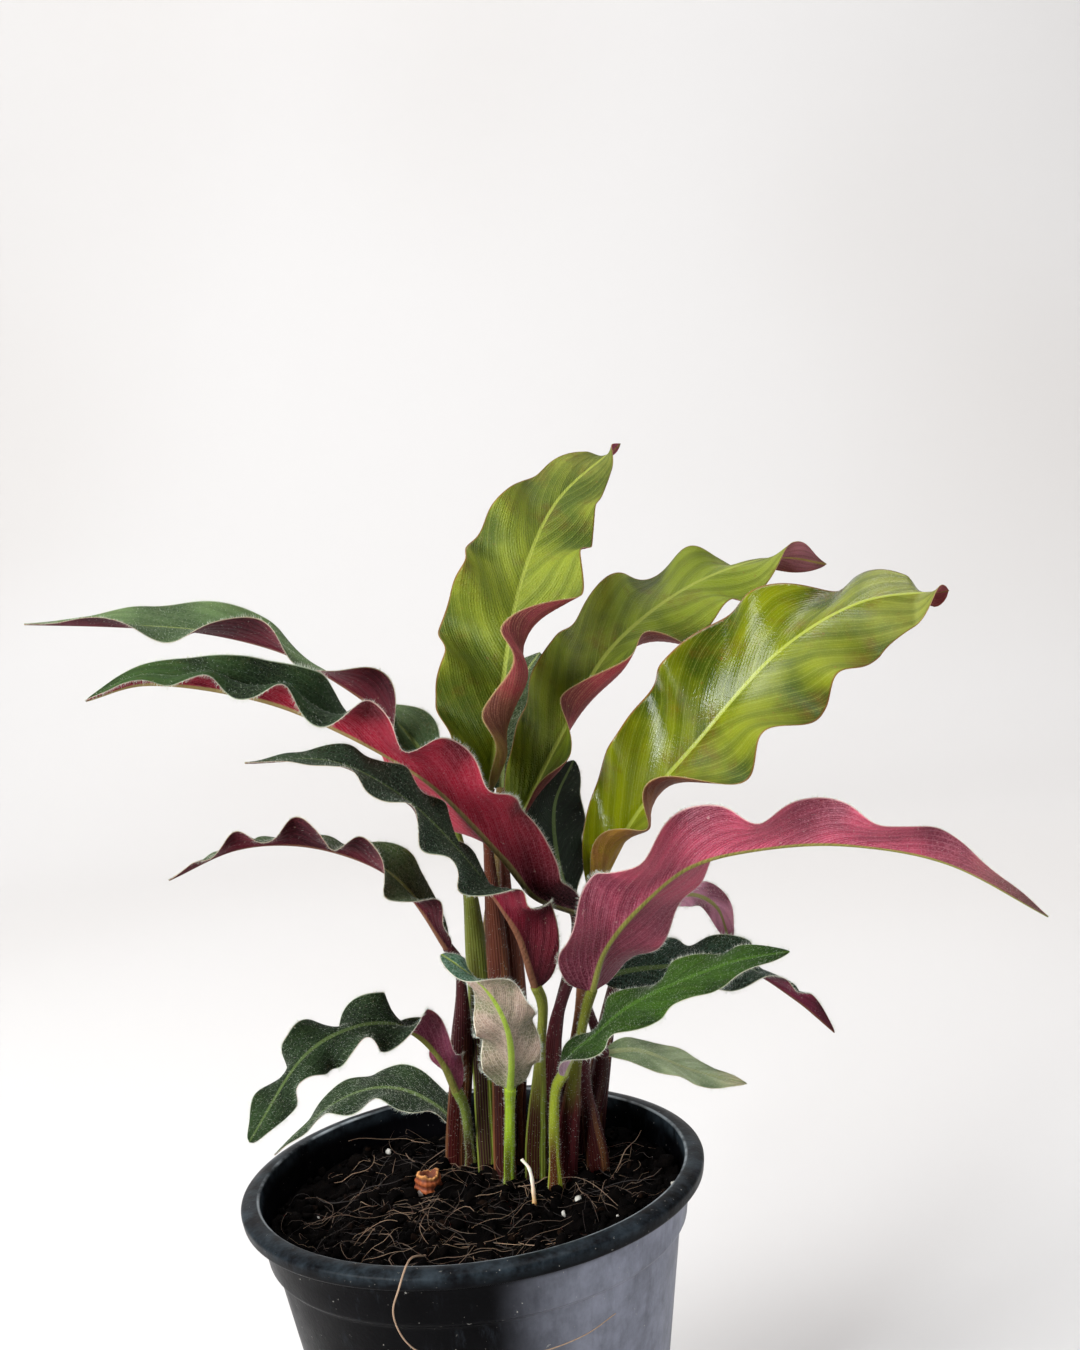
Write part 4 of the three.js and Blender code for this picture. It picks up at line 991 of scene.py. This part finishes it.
def pot_material():
    """Black nursery plastic with scuffs, pale specks, a mottled bluish-grey rim band and a painted
    highlight along its lip.

    A painted bluish reflection, cloudy and streaked, lies on the right front of the outer face,
    which the field outer marks.
    """
    shader = Shader("pot_plastic", Specular_IOR_Level=0.05)
    place = shader.place()
    x, y, z = shader.node("ShaderNodeSeparateXYZ", Vector=place).outputs
    along_wall = shader.node("ShaderNodeMapping", Vector=place, Scale=(1.0, 1.0, 0.18)).outputs[0]
    scuff = shader.ramp(shader.noise(420, 5, 0.75, along_wall), 0.52, 0.78)
    dust = shader.times(scuff, shader.ramp(shader.noise(38, 3, 0.6), 0.4, 0.7))
    away = shader.math("SQRT", shader.plus(shader.math("POWER", x, 2.0),
                                           shader.math("POWER", y, 2.0)))
    facing = shader.math("DIVIDE", shader.scaled(y, -0.66, shader.times(x, 0.75)), away)
    cloudy = shader.scaled(shader.ramp(shader.noise(75, 5, 0.72), 0.2, 0.75), 0.5, 0.5)
    streaky = shader.scaled(shader.ramp(shader.noise(260, 4, 0.7, along_wall), 0.2, 0.6), 0.3, 0.7)
    under_rim = shader.ramp(z, RIM_FOOT, RIM_FOOT - 0.0025)
    # The mask below is painted reflection: a bluish patch, cloudy and streaked, on the right front
    # of the outer face below the rim.
    painted_reflection = shader.times(shader.times(shader.ramp(facing, 0.66, 0.99),
                                     shader.times(cloudy, streaky)),
                        shader.times(under_rim, shader.field("outer")))
    speck = shader.ramp(shader.noise(900, 3, 0.6), 0.69, 0.76)
    # A bluish-grey mottle over the rim band, from its foot upwards.
    rim_band_mottle = shader.times(shader.ramp(z, RIM_FOOT, RIM_FOOT + 0.004),
                         shader.ramp(shader.noise(160, 4, 0.7), 0.3, 0.75))
    # A thin pale ring along the inner edge of the lip, broken up by noise, is a painted highlight.
    off_lip = shader.math("ABSOLUTE", shader.math("SUBTRACT", away, LIP_RADIUS))
    on_lip = shader.math("SUBTRACT", 1.0, shader.ramp(off_lip, 0.0002, 0.0007))
    painted_lip_highlight = shader.times(shader.times(shader.ramp(z, *LIP_HEIGHTS), on_lip),
                        shader.ramp(shader.noise(60, 4, 0.7), 0.35, 0.6))
    base = shader.mix(shader.ramp(shader.noise(30, 4, 0.6), 0.35, 0.75), "020203", "09080b")
    # Over the base: dust, the painted reflection, pale specks, the rim band's mottle and the
    # painted highlight on the lip.
    for share, strength, code in ((dust, 0.2, "59616b"), (painted_reflection, 0.65, "a6a8b6"),
                                  (speck, 0.7, "a8a49c"), (rim_band_mottle, 0.6, "39434a"),
                                  (painted_lip_highlight, 0.6, "a8b0b4")):
        base = shader.cover(base, share, strength, code)
    rough = shader.plus(shader.scaled(shader.noise(120, 4, 0.7), 0.3, 0.2),
                        shader.times(dust, 0.25))
    return shader.finish(base, rough, shader.bump(shader.noise(900, 3, 0.6), 0.0001, 0.5))


def drill_drains(piece):
    """Cut the ring of round drain holes through the pot's floor, and keep the cut mesh."""
    drills = bmesh.new()
    for k in range(DRAIN_HOLES):
        turn = math.tau * (k + 0.5) / DRAIN_HOLES
        spot = Vector((DRAIN_CIRCLE * math.cos(turn), DRAIN_CIRCLE * math.sin(turn), 0)) * MM
        bmesh.ops.create_cone(drills, cap_ends=True, segments=32, radius1=DRAIN_RADIUS * MM,
                              radius2=DRAIN_RADIUS * MM, depth=6 * WALL * MM,
                              matrix=Matrix.Translation(spot))
    mesh = bpy.data.meshes.new("drills")
    drills.to_mesh(mesh)
    drills.free()
    cutter = link_object("drills", mesh)
    cut = piece.modifiers.new("drains", "BOOLEAN")
    cut.operation = "DIFFERENCE"
    cut.solver = "EXACT"
    cut.object = cutter
    graph = bpy.context.evaluated_depsgraph_get()
    drilled = bpy.data.meshes.new_from_object(piece.evaluated_get(graph))
    piece.modifiers.clear()
    piece.data = drilled
    bpy.data.objects.remove(cutter)
    bpy.data.meshes.remove(mesh)


def dress_pot():
    """Make the pot with its drain holes, in place of its solid."""
    points, *faces = pot_shape()
    crest = np.flatnonzero(points[:, 2] > POT_HEIGHT - 0.05).max()
    outer = (np.arange(len(points)) < crest).astype(float)
    piece = make_mesh("pot_shell", points, faces, fields={"outer": outer},
                      materials=[pot_material()])
    drill_drains(piece)
    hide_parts("pot")


# Soil

def soil_height(x, y):
    """The solid's surface, and finer clods and crumbs on it."""
    swell = 1.1 * np.sin(0.09 * x + 1.2) * np.cos(0.08 * y - 0.4)
    clods = 0.8 * np.sin(0.31 * x + 0.22 * y) * np.sin(0.27 * y - 0.19 * x + 2)
    fine = 0.5 * ripple_sum(x, y, 3, 14, 5, 12) + 0.3 * ripple_sum(x, y, 4, 18, 1.6, 4)
    return SOIL_LEVEL + SOIL_TILT[0] * x + SOIL_TILT[1] * y + swell + clods + fine


def icosphere():
    """Points and triangles of a ball of 42 points and 80 triangles."""
    shape = bmesh.new()
    bmesh.ops.create_icosphere(shape, subdivisions=2, radius=1.0)
    shape.verts.index_update()
    points = np.array([v.co[:] for v in shape.verts])
    tris = np.array([[v.index for v in face.verts] for face in shape.faces])
    shape.free()
    return points, tris


def soil_material(name, dark, light, rough):
    """Moist peat: near black with browner crumbs, by each crumb's shade."""
    shader = Shader(name, Specular_IOR_Level=0.04)
    base = shader.mix(shader.field("shade"), dark, light)
    base = shader.mix(shader.ramp(shader.noise(700, 4, 0.7), 0.35, 0.7), base, dark)
    relief = shader.bump(shader.noise(1500, 4, 0.7), 0.0005, 0.8)
    return shader.finish(base, rough, relief)


def dress_soil(random):
    """Make the soil body with crumbs, bark chips and white grains, in place of its solid."""
    heap = Heap()
    floor = WALL + 0.4
    walls = [(BASE_RADIUS - WALL - 1.4, floor),
             (wall_radius(LEDGE_HEIGHT) - WALL - 0.6, LEDGE_HEIGHT - 0.5),
             (SHELF_RADIUS - WALL - 0.6, LEDGE_HEIGHT + 0.7)]
    rings = [(SOIL_RADIUS * k / SOIL_RINGS, 0) for k in range(SOIL_RINGS, -1, -1)]
    points, quads, fans = lathe([(0, floor), *walls, *rings], SOIL_SIDES)
    # The last two points are the middles of the floor and of the surface.
    top = np.arange(len(points)) >= len(walls) * SOIL_SIDES
    top[-2] = False
    points[top, 2] = soil_height(points[top, 0], points[top, 1])
    shade = np.clip(0.3 + 0.35 * ripple_sum(points[:, 0], points[:, 1], 9, 12, 3, 9), 0, 1)
    heap.add(points, quads, fans, shade)
    ball, tris = icosphere()
    for _ in range(CRUMBS):
        away, spin = CRUMB_REACH * math.sqrt(random.uniform()), random.uniform(0, math.tau)
        cx, cy = away * math.cos(spin), away * math.sin(spin)
        size = random.uniform(0.35, 1.0) + 1.2 * random.uniform() ** 6
        # Most crumbs are peat, 0; some are bark, 1, and a few are perlite, 2.
        kind = random.uniform()
        mark = 2 if kind > 0.985 else 1 if kind > 0.9 else 0
        size *= 0.55 if mark == 2 else 1
        stretch = random.uniform(0.6, 1.5, 3) * size
        dents = ripple_sum(ball[:, 0] + cx, ball[:, 1] + ball[:, 2], 5, 5, 0.9, 2.0)
        axis = Vector(random.normal(0, 1, 3))
        tumble = np.array(Matrix.Rotation(random.uniform(0, 6.3), 3, axis))
        crumb = ball * (1 + 0.22 * dents)[:, None] * stretch @ tumble
        centre = (cx, cy, float(soil_height(cx, cy)) + 0.3 * size)
        heap.add(crumb + centre, tris=tris, shade=random.uniform(0, 0.8), mark=mark)
    piece = heap.build("soil_surface", [
        soil_material("peat", "020101", "0a0604", 0.85),
        soil_material("bark", "080403", "22150c", 0.8),
        soil_material("perlite", "b8b4aa", "e8e6e0", 0.7)])
    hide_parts("soil")


def fibre_material(name, dark, light):
    """Dry coir and root threads, each of its own shade."""
    shader = Shader(name, Roughness=0.6, Subsurface_Weight=0.05, Subsurface_Scale=0.0005)
    base = shader.mix(shader.field("shade"), dark, light)
    return shader.finish(shader.cover(base, shader.noise(600), 0.4, dark))


def lay_threads(random):
    """Heap of coir threads that lie over the soil."""
    heap = Heap()
    for _ in range(THREADS):
        away, spin = 50 * math.sqrt(random.uniform()), random.uniform(0, math.tau)
        heading = random.uniform(0, math.tau)
        length = random.uniform(6, 30)
        bend = random.normal(0, 0.8)
        step = np.linspace(-0.5, 0.5, THREAD_KNOTS)
        turned = heading + bend * step * 2
        x = away * math.cos(spin) + np.cumsum(np.cos(turned)) * length / THREAD_KNOTS
        y = away * math.sin(spin) + np.cumsum(np.sin(turned)) * length / THREAD_KNOTS
        if (np.hypot(x, y) > THREAD_REACH).any():
            continue
        lift = 0.4 + random.uniform(0, 1.6) * np.cos(step * math.pi) * random.uniform(0.2, 1)
        tilt = random.uniform(0, 7.0) * (random.uniform() < 0.3)
        z = soil_height(x, y) + lift + tilt * (step + 0.5)
        thin = random.uniform(0.04, 0.1) + 0.07 * (random.uniform() < 0.1)
        line = smooth_line(np.stack([x, y, z], axis=1))
        shape = tube(line, lambda t, r=thin: r * (1 - 0.5 * np.abs(2 * t - 1)), 4, 12)
        heap.add(*shape[:3], random.uniform() ** 2.6)
    return heap


def hang_threads(heap):
    """Add the thread that leaves the soil and hooks over the front of the rim, and a thinner one
    that lies on the wall beneath it."""
    over_rim = [(-13.5, -40, 101), (-16, -52, 106.5), (-17.5, -57.5, 107), (-19.5, -59.8, 103.2),
                (-21.5, -57.6, 97), (-20.5, -56.6, 91), (-17.5, -56.2, 86.5), (-13, -55.6, 84.2)]
    on_wall = [(-4.5, -55.5, 82.5), (4, -55.4, 81.2), (13, -53.5, 80.8), (22, -50.2, 81.5),
               (29.5, -46.3, 83.5)]
    for points, thin in ((over_rim, 0.28), (on_wall, 0.18)):
        shape = tube(smooth_line(points), lambda t, r=thin: r * (1 - 0.4 * t), 7, 60)
        heap.add(*shape[:3], 0.8)


# Rhizome stub and white root

def dress_stub():
    """Ringed stump with a ragged, hollowed top, in place of its solid.

    The section is turned round Z, its rings rise and fall round the turn, the rim is torn to
    different heights, and the whole leans to the front.
    """
    height, rings = 13.6, 6
    steps = np.linspace(0, 1, 64)
    radius = 3.9 - 0.9 * steps**3 + 0.16 * np.sin(math.tau * rings * steps)
    wall = np.stack([radius, height * steps], 1)
    hollow = [(3.0, 13.7), (2.6, 13.9), (2.1, 13.7), (1.7, 13.2), (1.2, 12.8), (0.6, 12.6),
              (0, 12.5)]
    points, *faces = lathe(np.vstack([[0, 0], wall[:-1], hollow]), 72)
    turn = np.arctan2(points[:, 1], points[:, 0])
    t = points[:, 2] / height
    torn = 0.3 * np.sin(3 * turn + 1) + 0.15 * np.sin(7 * turn + 2) + 0.1 * np.sin(13 * turn)
    sway = 0.35 * np.sin(2 * turn + 0.7)
    points[:, 2] += torn * smoothstep(0.9, 1.0, t) + sway * smoothstep(0.1, 0.5, t)
    points[:, :2] *= (1 + 0.04 * np.sin(5 * turn + 6 * t) + 0.02 * np.sin(17 * turn))[:, None]
    inside = (np.hypot(points[:, 0], points[:, 1]) < 2.5) & (t > 0.85)
    points += np.array([-12.5, 11, 88]) + t[:, None] * (0.5, -3, -0.4)
    shader = Shader("stub_bark", Specular_IOR_Level=0.4)
    level = shader.field("t")
    ringed = shader.math("SINE", shader.times(level, math.tau * rings))
    base = shader.mix(shader.ramp(ringed, -0.9, 0.6), "64290f", "a8552a")
    for share, code in ((shader.ramp(shader.noise(500, 4, 0.7), 0.4, 0.75), "4f200e"),
                        (shader.ramp(level, 0.93, 1.02), "c98a4e"),
                        (shader.field("inside"), "6a3218")):
        base = shader.mix(share, base, code)
    relief = shader.bump(shader.noise(900, 4, 0.7), 0.0003, 0.8)
    piece = make_mesh("stub", points, faces, fields={"t": t, "inside": inside},
                      materials=[shader.finish(base, 0.6, relief)])
    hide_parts("rhizome_stub")


def dress_root():
    """White root that rises from the soil and hooks over."""
    line = smooth_line([(14, -15, 93), (14.4, -14.5, 100), (14.2, -13.2, 107), (12.4, -12, 110)])
    points, quads, fans, t, _ = tube(line, lambda t: 0.66 - 0.28 * t, 16, 60,
                                     lambda t, turn: 1 + 0.08 * np.sin(40 * t + 2 * turn))
    shader = Shader("root_skin", Roughness=0.5, Subsurface_Weight=0.3, Subsurface_Scale=0.001)
    base = shader.mix(shader.ramp(shader.field("t"), 0.3, 0.75), "b98a4c", "ece4d2")
    base = shader.cover(base, shader.noise(900, 3), 0.3, "c8b088")
    piece = make_mesh("root_hook", points, [quads, fans], fields={"t": t},
                      materials=[shader.finish(base)])
    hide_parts("root_white")


# Stage

# How far the floor lies under the pot, in metres.
FLOOR_GAP = 0.0004


def dress_stage():
    """A pale floor that curves up into the wall behind, in metres."""
    bend = np.linspace(0, math.pi / 2, 25)
    profile = [(-2.4, 0), (0, 0), *zip(0.9 + 0.8 * np.sin(bend), 0.8 - 0.8 * np.cos(bend)),
               (1.7, 3.2)]
    points = [(x, y, z - FLOOR_GAP) for x in (-3.2, 0, 3.2) for y, z in profile]
    rows = len(profile)
    quads = [(k, k + rows, k + rows + 1, k + 1) for k in range(2 * rows) if (k + 1) % rows]
    mesh = bpy.data.meshes.new("sweep")
    mesh.from_pydata(points, [], quads)
    mesh.polygons.foreach_set("use_smooth", np.ones(len(mesh.polygons), dtype=bool))
    sweep = link_object("sweep", mesh)
    shader = Shader("sweep_paper", Roughness=0.9, Specular_IOR_Level=0.1)
    # Faint darker blotches on the paper, half a metre or more across, are painted soft shadows.
    painted_shadow_blotches = shader.ramp(shader.noise(1.6, 1, 0.4), 0.35, 0.75)
    mesh.materials.append(shader.finish(shader.mix(painted_shadow_blotches, "d3d1d0", "cecbc9")))


def area_light(name, place, size, power, tint, aim=(0.0, 0.0, 0.16)):
    """A soft rectangular light at place, in metres, turned to aim."""
    lamp = bpy.data.lights.new(name, "AREA")
    lamp.shape = "RECTANGLE"
    lamp.size, lamp.size_y = size
    lamp.energy = power
    lamp.color = tint
    holder = link_object(name, lamp)
    holder.location = place
    holder.rotation_euler = (Vector(aim) - Vector(place)).to_track_quat("-Z", "Y").to_euler()


def dress_lights():
    """Two windows at the left, weaker light from the right and above, and a pale room."""
    area_light("window", (-1.15, -0.68, 0.85), (0.9, 1.1), 35, (0.97, 0.99, 1.0))
    area_light("side_window", (-0.8, -1.1, 0.5), (0.16, 0.5), 10, (0.9, 0.97, 1.0))
    area_light("right_fill", (1.2, -0.35, 0.35), (0.5, 0.9), 8, (0.84, 0.91, 1.0))
    area_light("overhead", (0.1, 0.3, 1.6), (1.2, 1.2), 6, (1.0, 0.98, 0.95))
    area_light("wall_wash", (0.1, 0.4, 2.1), (2.8, 0.7), 36, (1.0, 0.985, 0.98), (0.0, 1.8, 0.6))
    world = bpy.data.worlds.new("room")
    world.use_nodes = True
    air = world.node_tree.nodes["Background"].inputs
    air["Color"].default_value = (1.0, 0.985, 0.97, 1)
    air["Strength"].default_value = 0.08
    bpy.context.scene.world = world
    bpy.context.scene.view_settings.view_transform = "Standard"


# The camera stands in front of the rim and a little above the leaves, tipped down and rolled.
CAMERA_PLACE = (0.0, -0.426, 0.2785)
CAMERA_PITCH, CAMERA_YAW, CAMERA_ROLL = 6.4, 4.1, -5.9
FOCAL_PIXELS, FRAME_PIXELS, SENSOR = 1700.0, 1350.0, 36.0


def dress_camera():
    """The camera, from the numbers above."""
    camera = bpy.data.cameras.new("view")
    camera.sensor_width = SENSOR
    camera.lens = FOCAL_PIXELS * SENSOR / FRAME_PIXELS
    camera.clip_start = 0.01
    holder = link_object("view", camera)
    matrix = Matrix.Translation(CAMERA_PLACE)
    for angle, axis in ((-CAMERA_YAW, "Z"), (90 - CAMERA_PITCH, "X"), (CAMERA_ROLL, "Z")):
        matrix @= Matrix.Rotation(math.radians(angle), 4, axis)
    holder.matrix_world = matrix
    bpy.context.scene.camera = holder


dress_camera()
dress_stage()
dress_lights()
dress_pot()
dress_soil(np.random.default_rng(11))
threads = lay_threads(np.random.default_rng(12))
hang_threads(threads)
threads.build("coir_threads", [fibre_material("coir", "180c07", "b8977a")])
dress_stub()
dress_root()
white_hair = hair_material("white_hair", "a8ad98")
for number, leaf in enumerate(LEAVES):
    dress_stalk(leaf, white_hair, np.random.default_rng(100 + number))
    dress_blade(leaf, white_hair, np.random.default_rng(200 + number))
